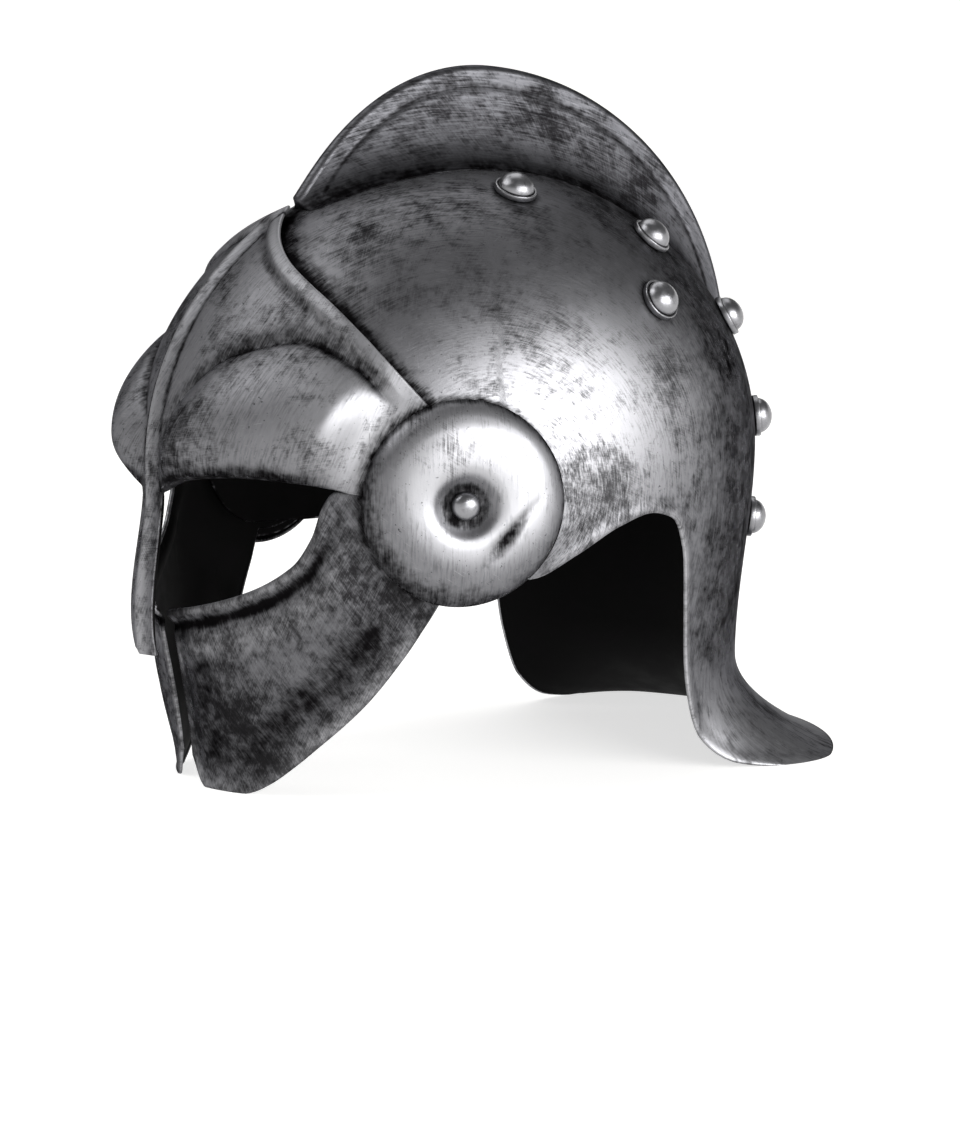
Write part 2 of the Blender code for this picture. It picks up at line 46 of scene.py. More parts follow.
body = dict(
    halfWidth=0.102,
    halfLength=0.135,
    equator=0.131,
    rise=0.119,
    centreY=-0.01213,     # the bowl's middle lies a little in front of the frame's
    wall=0.0016,
    layer=0.00208,        # a sheet and the gap below it
    faceTop=0.115,        # below this the cheeks and chin draw in
    cheekInset=0.024,
    chinInset=0.014,
    napeHeight=0.040,     # below this the neck guard curls out
    napeInset=0.008,
    neckInset=0.006,
    flare=0.041,
    downRadius=0.125,     # mean radii that turn a polar angle and a heading into lengths
    roundRadius=0.105,
    edgeWear=0.75,        # sheared edges are rubbed bright
    floorGap=0.00002,
)


def smooth(share):
    # 3t^2 - 2t^3 between 0 and 1, level outside
    share = np.clip(share, 0.0, 1.0)
    return share * share * (3 - 2 * share)


def bell(distance, width):
    # exp(-(d/w)^2)
    return np.exp(-(np.asarray(distance) / width) ** 2)


def ridge(distance, most, place, width):
    # most times a bell whose middle lies at place
    return most * bell(distance - place, width)


def beside(distance, most, width):
    # most where something touches, then down like half a bell
    return most * bell(np.maximum(distance, 0), width)


def through(at, table):
    # monotone cubic through a table's rows: each tangent is the harmonic mean of the slopes beside it
    x, y = np.array(table, float).T
    slope = np.diff(y) / np.diff(x)
    tangent = np.zeros(len(x))
    before, after = slope[:-1], slope[1:]
    keeps = before * after > 0
    tangent[1:-1][keeps] = 2 * before[keeps] * after[keeps] / (before[keeps] + after[keeps])
    tangent[0] = slope[0]
    tangent[-1] = slope[-1]
    at = np.clip(at, x[0], x[-1])
    left = np.clip(np.searchsorted(x, at, side="right") - 1, 0, len(slope) - 1)
    width = np.diff(x)[left]
    share = (at - x[left]) / width
    rise = y[left + 1] - y[left]
    start = tangent[left] * width
    end = tangent[left + 1] * width
    return y[left] + share * (start + share * (3 * rise - 2 * start - end + share * (start + end - 2 * rise)))


def edgeHeight(heading, table):
    # an outline's height at a heading
    return body["equator"] * through(np.degrees(np.abs(heading)), table)


def heightOf(polar):
    # z = equator + rise cos(polar) on the dome, then straight down by rise for each radian
    dome = body["equator"] + body["rise"] * np.cos(np.minimum(polar, quarter))
    return dome - body["rise"] * np.maximum(np.asarray(polar) - quarter, 0.0)


def polarOf(height):
    # heightOf turned round
    share = (np.asarray(height, float) - body["equator"]) / body["rise"]
    return np.where(share > 0, np.arccos(np.clip(share, 0.0, 1.0)), quarter - np.minimum(share, 0.0))


def onForm(heading, polar):
    # (x, y) = sin(polar) (a sin h, -b cos h), with a and b drawn in at chin and nape, plus the guard's curl
    # outwards, which grows as the square of the depth below the nape
    heading, polar = np.broadcast_arrays(np.asarray(heading, float), np.asarray(polar, float))
    height = heightOf(polar)
    turned = np.degrees(np.abs(heading))
    behind = smooth((turned - 84) / 28)
    face = (1 - behind) * smooth((body["faceTop"] - height) / body["faceTop"])
    nape = behind * smooth((body["equator"] - height) / (body["equator"] - body["napeHeight"]))
    a = body["halfWidth"] - body["cheekInset"] * face - body["neckInset"] * nape
    b = body["halfLength"] - body["chinInset"] * face - body["napeInset"] * nape
    across = np.sin(heading) / a
    along = -np.cos(heading) / b
    size = np.hypot(across, along)
    below = np.maximum(body["napeHeight"] - height, 0.0) / body["napeHeight"]
    curl = body["flare"] * smooth((turned - 118) / 30) * below**2
    reach = np.sin(np.minimum(polar, quarter))
    x = reach * a * np.sin(heading) + curl * across / size
    y = -reach * b * np.cos(heading) + curl * along / size + body["centreY"]
    return np.stack([x, y, height], axis=-1)


def formNormal(heading, polar):
    # cross product of two short steps, one down and one round
    step = 1e-4
    polar = np.maximum(polar, 2 * step)
    roundIt = onForm(heading + step, polar) - onForm(heading - step, polar)
    downIt = onForm(heading, polar + step) - onForm(heading, polar - step)
    normal = np.cross(downIt, roundIt)
    return normal / np.linalg.norm(normal, axis=-1, keepdims=True)


def aboveForm(heading, polar, above):
    # the form's point plus its normal times a height
    return onForm(heading, polar) + formNormal(heading, polar) * np.asarray(above)[..., None]


def onDome(sagittal, across):
    # ellipsoid by an angle from the crown, positive to the back, and a distance across the middle plane
    flat = np.sqrt(1 - (across / body["halfWidth"]) ** 2)
    along = body["halfLength"] * np.sin(sagittal) * flat
    up = body["rise"] * np.cos(sagittal) * flat
    point = np.stack([across + 0 * along, along + body["centreY"], body["equator"] + up], axis=-1)
    normal = np.stack([across / body["halfWidth"] ** 2 + 0 * along, along / body["halfLength"] ** 2,
                       up / body["rise"] ** 2], axis=-1)
    return point, normal / np.linalg.norm(normal, axis=-1, keepdims=True)


# Outlines. Columns: heading in degrees, height as a share of the equator's
outlines = dict(
    bowlRim=((0, 1.05), (46, 1.05), (52, 0.94), (60, 0.75), (66, 0.70), (83, 0.69), (91, 0.755), (100, 0.835),
             (107, 0.865), (113, 0.84), (117, 0.73), (119.5, 0.52), (121.5, 0.29), (125, 0.11), (131, 0.02),
             (140, -0.004), (180, -0.004)),
    browUpper=((0, 1.76), (10, 1.71), (25, 1.62), (40, 1.52), (50, 1.42), (58, 1.31), (66, 1.18), (73, 1.05),
               (80, 0.93), (90, 0.93)),
    browLower=((0, 0.92), (6, 0.93), (16, 0.98), (30, 1.00), (42, 0.99), (53, 0.965), (62, 0.95), (72, 0.93),
               (90, 0.93)),
    browCrease=((0, 1.06), (8, 1.17), (22, 1.35), (38, 1.40), (50, 1.33), (60, 1.18), (68, 1.02), (90, 0.93)),
    cheekUpper=((0, 0.55), (8, 0.57), (18, 0.60), (30, 0.655), (39.5, 0.74), (43.5, 0.83), (45.5, 0.92),
                (48, 0.965), (53, 0.955), (62, 0.94), (72, 0.93), (90, 0.93)),
    cheekLower=((0, 0.16), (5, 0.08), (8.2, 0.015), (10.5, -0.002), (19, -0.002), (23, -0.001), (27, 0.012),
                (32, 0.045), (37, 0.093), (42, 0.15), (53, 0.30), (61, 0.47), (67, 0.65), (72, 0.81),
                (77, 0.93), (90, 0.93)),
)

ear = dict(
    heading=math.radians(70),
    height=0.122,
    turn=1.29 * 0.102,    # distance round the form for each radian there
    radius=0.0395,
    dome=0.0065,
    hub=0.0020,
    tabStep=0.003,
)


def earDistance(heading, height):
    # distance to the ear rivet, with the form rolled out flat
    return np.hypot((np.abs(heading) - ear["heading"]) * ear["turn"], height - ear["height"])


def clearOfDisc(heading, height):
    # 0 up to just outside the ear disc, 1 half its radius farther out
    return smooth((earDistance(heading, height) / ear["radius"] - 1.12) / 0.5)


def withTab(heading, upper, lower, radius):
    # a plate's two edges opened out to its round tab below the ear disc
    roundIt = (np.abs(heading) - ear["heading"]) * ear["turn"]
    reach = np.where(np.abs(roundIt) < radius, np.sqrt(np.maximum(radius**2 - roundIt**2, 0.0)), -1.0)
    return np.maximum(upper, ear["height"] + reach), np.minimum(lower, ear["height"] - reach)


def tabEnd(radius):
    # heading just short of a tab's far end
    return ear["heading"] + 0.985 * radius / ear["turn"]


def crowded(edges, start, end, count):
    # headings that crowd where an edge is steep: even steps of walked length
    heading = np.linspace(start, end, 4000)
    upper, lower = edges(heading)
    climb = np.abs(np.gradient(upper)) + np.abs(np.gradient(lower))
    walked = np.cumsum(body["halfLength"] * np.gradient(heading) + 0.7 * climb)
    walked = walked - walked[0]
    return np.interp(np.linspace(0, walked[-1], count), walked, heading)


def rowsWithCrispEnds(count, pole=False, inset=0.003):
    # even shares from 0 to 1 with one more row just inside each open end, so that round edges shade crisply
    inner = np.linspace(0 if pole else inset, 1 - inset, count)
    return np.concatenate([[] if pole else [0.0], inner, [1.0]])


def distanceTo(points, line):
    # for each grid point, the least distance to a line's points
    return np.stack([np.sqrt(((row[:, None] - line) ** 2).sum(-1).min(1)) for row in points])


def gridNormals(points):
    # cross product of the step down a column and the step along a row
    down = np.gradient(points, axis=0)
    along = np.gradient(points, axis=1)
    normal = np.cross(down, along)
    return normal / np.maximum(np.linalg.norm(normal, axis=-1, keepdims=True), 1e-12)


def slanted(across, along, degrees):
    # brush coordinates turned by an angle, for rubbing aslant
    turn = math.radians(degrees)
    return np.stack([across * math.cos(turn) + along * math.sin(turn), 0 * along,
                     along * math.cos(turn) - across * math.sin(turn)], axis=-1)


def mirrored(points, normals, sootAndShade, wearAndHighlight, brush, shift):
    # a grid for the wearer's right: x changes sign, and the columns run backwards to keep the faces outwards;
    # the brush shifts so that the two sides aren't rubbed alike
    return (points[:, ::-1] * (-1, 1, 1), normals[:, ::-1] * (-1, 1, 1), sootAndShade[:, ::-1], wearAndHighlight[:, ::-1],
            brush[:, ::-1] + (shift, 0, 0))


def gridBorder(index):
    # point numbers once round a grid
    return np.concatenate([index[0, :-1], index[:-1, -1], index[-1, :0:-1], index[:0:-1, 0]])


def quads(index):
    # the four corners of each of a grid's cells
    corners = (index[:-1, :-1], index[1:, :-1], index[1:, 1:], index[:-1, 1:])
    return np.stack([corner.ravel() for corner in corners], axis=1)


def putMesh(name, points, faces, fields, materials, slots=None):
    # vertices, faces and their float or vector attributes as one smooth-shaded object at the origin
    mesh = bpy.data.meshes.new(name)
    mesh.from_pydata(points.tolist(), [], [face for part in faces for face in part.tolist()])
    for label, values in fields.items():
        vector = values.ndim == 2
        layer = mesh.attributes.new(label, "FLOAT_VECTOR" if vector else "FLOAT", "POINT")
        layer.data.foreach_set("vector" if vector else "value", values.astype(np.float32).ravel())
    for material in materials:
        mesh.materials.append(material)
    if slots is not None:
        mesh.polygons.foreach_set("material_index", slots.astype(np.int32))
    mesh.shade_smooth()
    mesh.update()
    made = bpy.data.objects.new(name, mesh)
    bpy.context.scene.collection.objects.link(made)
    return made


def outwards(points, border):
    # a rough direction out of a grid at each point of its border, used for its sign alone
    out = np.zeros_like(points)
    out[0] += points[0] - points[1]
    out[-1] += points[-1] - points[-2]
    for side, inner in ((0, 1), (-1, -2)):
        step = points[:, side] - points[:, inner]
        out[:, side] += step / np.maximum(np.linalg.norm(step, axis=-1, keepdims=True), 1e-9) * 1e-3
    return out.reshape(-1, 3)[border]


def sheet(name, points, normals, sootAndShade, wearAndHighlight, brush, steel, wrap=False):
    # a closed sheet: the outer grid, the same grid moved in by the wall, and between their borders a half
    # round band, each ring c + w/2 (n cos f + t sin f), with t pointing out of the sheet's edge; a wrapped
    # grid closes on itself and starts from a pole
    rows, columns = points.shape[:2]
    total = rows * columns
    index = np.arange(total).reshape(rows, columns)
    wall = body["wall"]
    outer = points.reshape(-1, 3)
    inner = (points - normals * wall).reshape(-1, 3)
    if wrap:
        border = index[-1]
        rough = points[-1] - points[-2]
    else:
        border = gridBorder(index)
        rough = outwards(points, border)
    lineNormal = normals.reshape(-1, 3)[border]
    run = np.roll(outer[border], -1, axis=0) - np.roll(outer[border], 1, axis=0)
    out = np.cross(lineNormal, run)
    out *= np.sign((out * rough).sum(-1, keepdims=True))
    out /= np.maximum(np.linalg.norm(out, axis=-1, keepdims=True), 1e-12)
    middle = outer[border] - lineNormal * wall / 2
    turns = np.radians([30, 60, 90, 120, 150])
    rings = [middle + wall / 2 * (lineNormal * math.cos(turn) + out * math.sin(turn)) for turn in turns]
    count = len(border)
    loops = [border] + [2 * total + step * count + np.arange(count) for step in range(len(turns))]
    loops.append(border + total)
    band = []
    for first, second in zip(loops, loops[1:]):
        band.append(np.stack([first, np.roll(first, -1), np.roll(second, -1), second], axis=1))
    band = np.concatenate(band)
    if wrap:
        band = band[:, ::-1]
        index = np.hstack([index, index[:, :1]])
        ring = index[1, :-1]
        top = np.stack([np.full(columns, index[0, 0]), ring, np.roll(ring, -1)], axis=1)
        shell = quads(index[1:])
        faces = [shell, shell[:, ::-1] + total, band, top, top[:, ::-1] + total]
    else:
        shell = quads(index)
        faces = [shell, shell[:, ::-1] + total, band]
    insideOnes = (0, 1, 0, 0, 1)  # material of each set of faces: steel, or the black inside, which also paints the inside's shade
    slots = np.concatenate([np.full(len(part), slot) for part, slot in zip(faces, insideOnes)])
    every = np.concatenate([outer, inner, *rings])
    every[:, 2] = np.maximum(every[:, 2], body["floorGap"])
    fields = {}
    for label, values in dict(sootAndShade=sootAndShade, wearAndHighlight=wearAndHighlight, brush=brush).items():
        flat = values.reshape(total, -1)
        onBand = np.tile(flat[border], (len(turns), 1))
        if label == "wearAndHighlight":
            onBand = np.maximum(onBand, body["edgeWear"])
        fields[label] = np.concatenate([flat, flat, onBand])
        if values.ndim == 2:
            fields[label] = fields[label][:, 0]
    if wrap:
        # one point at the pole in place of a row of equal ones
        used = np.ones(len(every), bool)
        used[1:columns] = False
        used[total + 1:total + columns] = False
        renumber = np.cumsum(used) - 1
        every = every[used]
        faces = [renumber[part] for part in faces]
        fields = {label: values[used] for label, values in fields.items()}
    return putMesh(name, every, faces, fields, [steel, insideBlackAndShade], slots)


# Materials

smoothly = dict(interpolation_type="SMOOTHSTEP")


def linear(code):
    # sRGB hex to linear RGBA
    channels = [int(code[start:start + 2], 16) / 255 for start in (1, 3, 5)]
    return tuple(((c + 0.055) / 1.055) ** 2.4 if c > 0.04045 else c / 12.92 for c in channels) + (1.0,)


def addNode(tree, kind, *values, named=None, output=0, **settings):
    # one node with its settings; each of its sockets, in order or by name, gets a value or a link
    made = tree.nodes.new("ShaderNode" + kind)
    for label, value in settings.items():
        setattr(made, label, value)
    for socket, value in {**dict(enumerate(values)), **(named or {})}.items():
        if isinstance(value, bpy.types.NodeSocket):
            tree.links.new(value, made.inputs[socket])
        else:
            made.inputs[socket].default_value = value
    return made.outputs[output]


def weighedSum(tree, patterns, weights, start=0.0):
    # start plus each named pattern times its weight
    total = start
    for kind, weight in weights.items():
        total = addNode(tree, "Math", patterns[kind], weight, total, operation="MULTIPLY_ADD")
    return total


def grain(size, detail, roughness):
    # a noise's settings for a grain of that size, in metres or in whatever its coordinates are scaled to
    return {"Scale": 1 / size, "Detail": detail, "Roughness": roughness}


def blank(name):
    # a new material, its node tree and its shader
    material = bpy.data.materials.new(name)
    material.use_nodes = True
    return material, material.node_tree, material.node_tree.nodes["Principled BSDF"]


# A range has four numbers: the pattern's level where it begins and where it is full, and what it gives there.
steelLook = dict(
    bare="#77777a",         # steel rubbed clean
    rubbedAndHighlight="#b4b4b7",       # edges and high places, and painted highlights
    patinaAndShade="#0f0e0f",       # black antiquing left in the grain, and the colour of painted shade
    edgeTint="#7c7c7e",     # how bright the steel stays where it is seen edge on
    onPlace=dict(
        clouds=grain(46 * mm, 3.0, 0.50),     # darker and lighter patches
        patches=grain(12.5 * mm, 4.0, 0.60),
        blots=grain(3.6 * mm, 4.0, 0.62),
        specks=grain(1.2 * mm, 2.0, 0.50),
        dents=grain(21 * mm, 1.0, 0.40),      # hammer marks
    ),
    # marks of the rubbing, across and along it, drawn wider than real ones, which would not show
    onBrush=dict(
        rub=(1.0 * mm, 8.5 * mm, grain(1.0, 4.0, 0.60)),
        hairs=(0.42 * mm, 6.8 * mm, grain(1.0, 2.0, 0.60)),
        crossHairs=(0.504 * mm, 6.8 * mm, grain(1.0, 2.0, 0.60)),
    ),
    crossing=58,            # degrees between the two directions of the hairlines
    # weights that set where black stays: broken up by rubbing marks, or by blots alone
    streaked=dict(clouds=0.80, patches=0.52, blots=0.40, rub=0.52, hairs=0.40, crossHairs=0.30),
    mottled=dict(clouds=0.80, patches=0.52, blots=1.02, rub=0.0, hairs=0.0, crossHairs=0.60),
    streaky=1.0,            # how far it is streaked rather than mottled
    level=1.54,             # weighed sum at which half of the black is left
    softness=0.40,          # how gradually the black sets in
    most=0.92,
    # thin traces of black: a fine pattern's range times a coarser one's
    traces=(
        ("rub", (0.42, 0.64, 0.0, 0.36), "patches", (0.32, 0.62, 0.0, 1.0)),   # grey film where it is clean
        ("specks", (0.63, 0.72, 0.0, 0.75), "blots", (0.40, 0.60, 0.0, 1.0)),
    ),
    hairShine=(0.60, 0.74, 0.0, 1.0),
    crossHairShine=(0.61, 0.75, 0.0, 1.0),
    hairsClean=0.24,        # black that bright hairlines take away, and the brightness they add
    hairsBrighten=0.26,
    wearAndHighlightCleans=0.20,
    wearAndHighlightBrightens=0.75,
    # soot and painted shade, drawn by the pieces' attribute, with an edge made uneven by these weights
    uneven=dict(patches=1.20, blots=1.05, rub=0.72, hairs=0.60),
    blackAndShadeRange=(0.0, 1.2, 0.0, 1.0),
    sootAndShadeRange=(0.0, 0.15, 0.0, 1.0),
    bareRoughness=0.45,
    patinaRoughness=0.58,
    rubRoughness=(0.3, 0.7, -0.05, 0.06),
    relief=dict(dents=0.50, patches=0.08, blots=0.030, rub=0.040, hairs=0.026, crossHairs=0.020, left=0.012),
    reliefStrength=0.55,
    reliefHeight=1.2 * mm,
)


def antiquedSteel(name, darker=0.0, look=steelLook):
    # Antiqued sheet steel: blackened, then rubbed back by hand, so black stays in soft clouds whose edges are
    # drawn out along the rubbing, with hairlines across each other, specks, and bright worn edges. The
    # pieces' attributes add painted shade to the black and painted highlights to the worn places.
    material, tree, shader = blank(name)
    place = addNode(tree, "TexCoord", output="Object")
    brush = addNode(tree, "Attribute", output="Vector", attribute_name="brush")
    sootAndShade = addNode(tree, "Attribute", output="Fac", attribute_name="sootAndShade")
    wearAndHighlight = addNode(tree, "Attribute", output="Fac", attribute_name="wearAndHighlight")
    turned = addNode(tree, "VectorRotate", named={"Vector": brush, "Angle": math.radians(look["crossing"])},
                     rotation_type="Y_AXIS")
    patterns = {}
    for kind, settings in look["onPlace"].items():
        patterns[kind] = addNode(tree, "TexNoise", named={"Vector": place, **settings})
    for kind, (across, along, settings) in look["onBrush"].items():
        scales = (1 / across, 1 / across, 1 / along)
        scaled = addNode(tree, "VectorMath", turned if kind == "crossHairs" else brush, scales,
                         operation="MULTIPLY")
        patterns[kind] = addNode(tree, "TexNoise", named={"Vector": scaled, **settings})
    # how much black is left: clouds set where, and blots, rubbing and hairlines break up its edges
    streaky = look["streaky"]
    weights = {kind: streaky * weight + (1 - streaky) * look["mottled"][kind]
               for kind, weight in look["streaked"].items()}
    amount = weighedSum(tree, patterns, weights)
    level = look["level"] - darker
    left = addNode(tree, "MapRange", amount, level - look["softness"] / 2, level + look["softness"] / 2, 0.0,
                   look["most"], **smoothly)
    for fine, fineRange, coarse, coarseRange in look["traces"]:
        fine = addNode(tree, "MapRange", patterns[fine], *fineRange, **smoothly)
        coarse = addNode(tree, "MapRange", patterns[coarse], *coarseRange, **smoothly)
        trace = addNode(tree, "Math", fine, coarse, operation="MULTIPLY")
        left = addNode(tree, "Math", left, trace, operation="MAXIMUM")
    brightHairs = addNode(tree, "MapRange", patterns["hairs"], *look["hairShine"], **smoothly)
    brightCross = addNode(tree, "MapRange", patterns["crossHairs"], *look["crossHairShine"], **smoothly)
    brightHairs = addNode(tree, "Math", brightHairs, brightCross, operation="MAXIMUM")
    for cleaner, share in ((brightHairs, look["hairsClean"]), (wearAndHighlight, look["wearAndHighlightCleans"])):
        left = addNode(tree, "Math", cleaner, -share, left, operation="MULTIPLY_ADD", use_clamp=True)
    # where soot and painted shade are drawn the black is deeper; less half its weights the uneven sum is the
    # drawn value on average
    uneven = look["uneven"]
    blackAndShade = addNode(tree, "Math", sootAndShade, sum(uneven.values()) / 2, operation="SUBTRACT")
    blackAndShade = weighedSum(tree, patterns, uneven, blackAndShade)
    blackAndShade = addNode(tree, "MapRange", blackAndShade, *look["blackAndShadeRange"], **smoothly)
    drawn = addNode(tree, "MapRange", sootAndShade, *look["sootAndShadeRange"], **smoothly)
    blackAndShade = addNode(tree, "Math", blackAndShade, drawn, operation="MULTIPLY")
    left = addNode(tree, "Math", left, blackAndShade, operation="MAXIMUM", use_clamp=True)
    rubbedAndHighlight = linear(look["rubbedAndHighlight"])
    # rubbed wear, and painted highlights where the pieces place them, lighten the steel
    rubAndHighlight = addNode(tree, "Math", wearAndHighlight, look["wearAndHighlightBrightens"], operation="MULTIPLY")
    shine = addNode(tree, "Math", brightHairs, look["hairsBrighten"], operation="MULTIPLY")
    colour = addNode(tree, "MixRGB", rubAndHighlight, linear(look["bare"]), rubbedAndHighlight)
    colour = addNode(tree, "MixRGB", shine, colour, rubbedAndHighlight)
    colour = addNode(tree, "MixRGB", left, colour, linear(look["patinaAndShade"]))
    roughness = addNode(tree, "MapRange", left, 0.0, 1.0, look["bareRoughness"], look["patinaRoughness"],
                        **smoothly)
    rubRoughness = addNode(tree, "MapRange", patterns["rub"], *look["rubRoughness"], **smoothly)
    roughness = addNode(tree, "Math", roughness, rubRoughness, operation="ADD")
    # hammer marks, the drawn-out grain and the thickness of the antiquing
    relief = weighedSum(tree, {**patterns, "left": left}, look["relief"])
    bump = addNode(tree, "Bump", named={"Height": relief, "Strength": look["reliefStrength"],
                                        "Distance": look["reliefHeight"]})
    shader.inputs["Metallic"].default_value = 1.0
    shader.inputs["Specular Tint"].default_value = linear(look["edgeTint"])
    tree.links.new(colour, shader.inputs["Base Color"])
    tree.links.new(roughness, shader.inputs["Roughness"])
    tree.links.new(bump, shader.inputs["Normal"])
    return material


insideLook = dict(
    dark="#030303",
    light="#090809",
    patches=grain(12 * mm, 4.0, 0.60),
    colourRange=(0.35, 0.70, 0.0, 1.0),
    roughness=(0.3, 0.7, 0.62, 0.76),
    gloss=0.07,
)


def blackenedAndShadedInside(name, look=insideLook):
    # Oxide-black steel, never rubbed back: the dull dark inside of the helmet, made near black so that it
    # also paints the shade inside.
    material, tree, shader = blank(name)
    place = addNode(tree, "TexCoord", output="Object")
    patches = addNode(tree, "TexNoise", named={"Vector": place, **look["patches"]})
    share = addNode(tree, "MapRange", patches, *look["colourRange"], **smoothly)
    colour = addNode(tree, "MixRGB", share, linear(look["dark"]), linear(look["light"]))
    roughness = addNode(tree, "MapRange", patches, *look["roughness"], **smoothly)
    tree.links.new(colour, shader.inputs["Base Color"])
    tree.links.new(roughness, shader.inputs["Roughness"])
    shader.inputs["Specular IOR Level"].default_value = look["gloss"]
    return material


rivetLook = dict(
    bright="#8c8c8f",
    # colour of stains, and of the black and painted shade at the foot
    blackAndShade="#121112",
    patches=grain(4 * mm, 3.0, 0.60),
    hairs=grain(0.5 * mm, 2.0, 0.60),
    footRange=(0.25, 0.60, 0.7, 1.0),      # how evenly black and painted shade fill the groove and the foot
    stainRange=(0.50, 0.74, 0.0, 0.45),
    roughness=(0.3, 0.7, 0.27, 0.40),
    scratchStrength=0.10,
    scratchHeight=0.2 * mm,
)


def polishedRivet(name, look=rivetLook):
    # Polished steel rivet: bright, with hairlines and stains from handling, and black with painted shade
    # round its foot.
    material, tree, shader = blank(name)
    place = addNode(tree, "TexCoord", output="Object")
    sootAndShade = addNode(tree, "Attribute", output="Fac", attribute_name="sootAndShade")
    hairs = addNode(tree, "TexNoise", named={"Vector": place, **look["hairs"]})
    patches = addNode(tree, "TexNoise", named={"Vector": place, **look["patches"]})
    foot = addNode(tree, "MapRange", patches, *look["footRange"], **smoothly)
    blackAndShade = addNode(tree, "Math", sootAndShade, foot, operation="MULTIPLY", use_clamp=True)
    stain = addNode(tree, "MapRange", patches, *look["stainRange"], **smoothly)
    blackAndShade = addNode(tree, "Math", blackAndShade, stain, operation="MAXIMUM")
    colour = addNode(tree, "MixRGB", blackAndShade, linear(look["bright"]), linear(look["blackAndShade"]))
    roughness = addNode(tree, "MapRange", patches, *look["roughness"], **smoothly)
    bump = addNode(tree, "Bump", named={"Height": hairs, "Strength": look["scratchStrength"],
                                        "Distance": look["scratchHeight"]})
    tree.links.new(colour, shader.inputs["Base Color"])
    tree.links.new(roughness, shader.inputs["Roughness"])
    tree.links.new(bump, shader.inputs["Normal"])
    shader.inputs["Metallic"].default_value = 1.0
    return material


# darker copies of the bowl's steel for comb and cheek plates, lighter ones for brow plate and ear discs, for
# how light falls on each: painted shade and painted highlight
shadedCombLook = dict(steelLook, bare="#515154", rubbedAndHighlight="#7c7c80")
browLook = dict(steelLook, streaky=0.75, bareRoughness=0.52)
shadedCheekLook = dict(steelLook, bare="#666669", streaky=0.62, softness=0.48)
bowlSteel = antiquedSteel("antiqued steel, bowl")
shadedCombSteel = antiquedSteel("antiqued steel, comb", 0.04, shadedCombLook)
litBrowSteel = antiquedSteel("antiqued steel, brow plate", -0.04, browLook)
shadedCheekSteel = antiquedSteel("antiqued steel, cheek plates", 0.08, shadedCheekLook)
litDiscSteel = antiquedSteel("antiqued steel, ear discs", -0.11)
insideBlackAndShade = blackenedAndShadedInside("blackened steel, inside")
rivetSteel = polishedRivet("polished steel, rivets")
print("materials made")


# In the pieces' dictionaries a ridge, groove, line of soot and painted shade, or line of wear or painted
# highlight
# has three numbers: its height, depth or strength, its distance from an edge, and its width. Soot and painted
# shade beside a neighbour have a strength and a spread.

# Comb's run over the dome, which the bowl's soot and painted shade follow too

comb = dict(
    stations=230,
    profile=40,           # points up one flank
    backEnd=70,           # degrees behind the crown
    browGap=0.6 * mm,
    highest=0.36,         # share of its run
    endHeight=0.006,
    middleHeight=0.035,   # what the middle adds to that
    endHalfWidth=0.0055,
    middleHalfWidth=0.0115,
    edge=3.2 * mm,        # radius of the top edge
    line=(0.6 * mm, 8.5 * mm, 1.1 * mm),  # cut below the top edge
    foot=2.2 * mm,        # fillet of the braze along its foot
    footHeight=1.6 * mm,
    lift=0.05 * mm,
    # black in the braze and the cut line, deepened into painted shade at the foot and in the groove
    sootAndShadeAtFoot=(1.0, 5.0 * mm),
    sootAndShadeInLine=(0.9, 8.5 * mm, 1.3 * mm),
    flankWear=(0.22, 1.0 * mm, 3.0 * mm),
    topWear=0.28,
)
combSection = ((0.0, 1.0), (0.12, 0.71), (0.32, 0.43), (0.65, 0.17), (1.0, 0.0))  # share up, share of width


def combShape():
    # stations from the brow plate's peak to the back: the height rises as a sine and sinks as a cosine, each
    # to the power 1.1, and the half width follows sin(pi t^0.6)^0.8
    peak = float(polarOf(edgeHeight(0.0, outlines["browUpper"])))
    start = -(peak - (comb["browGap"] + 2 * body["wall"]) / body["rise"])
    share = rowsWithCrispEnds(comb["stations"])
    angle = start + (math.radians(comb["backEnd"]) - start) * share
    forward = np.clip(share / comb["highest"], 0, 1)
    backward = np.clip((share - comb["highest"]) / (1 - comb["highest"]), 0, 1)
    rise = np.where(share < comb["highest"], np.sin(quarter * forward), np.cos(quarter * backward)) ** 1.1
    height = comb["endHeight"] + comb["middleHeight"] * rise
    width = comb["endHalfWidth"] + comb["middleHalfWidth"] * np.sin(math.pi * share**0.60) ** 0.8
    return share, angle, height, width


# Bowl

bowl = dict(
    columns=330,
    rows=128,
    studRadius=8.8 * mm,
    bead=(0.7 * mm, 1.0 * mm, 2.6 * mm),  # turned edge along ear arches and neck guard
    beadWear=(0.35, 1.0 * mm, 1.9 * mm),
    rubbedHighlightHeading=93,      # middle of the side that is rubbed clean and carries a painted highlight where the side light falls, in degrees
    rubbedHighlightPolar=77,
    rubbedHighlight=0.60,
    rubbedHighlightRadius=14 * mm,
    rubbedHighlightFade=54 * mm,
    flareWear=0.50,
    rubAxis=(1.0, -0.30, -0.06),  # the bowl was rubbed in arcs round this axis, near the ear
    rubAcross=0.120,      # metres for a radian away from the axis
    rubAlong=0.085,       # and for one round it
    # painted shade over the back, away from the side light
    shadeAtBack=0.76,
    # black antiquing in these hollows is deepened into painted shade where parts meet
    sootAndShadeBehindBead=(0.5, 5.2 * mm, 1.6 * mm),
    sootAndShadeByComb=(1.0, 4.5 * mm),
    sootAndShadeByCombEnd=(0.9, 9.0 * mm),
    sootAndShadeByBrow=(1.2, 6.2 * mm),
    # black at the disc's edge, and the disc's painted shadow on the bowl
    sootAndShadowByDisc=(1.0, 3.0 * mm),
    sootAndShadeByStud=(0.85, 2.6 * mm),
)
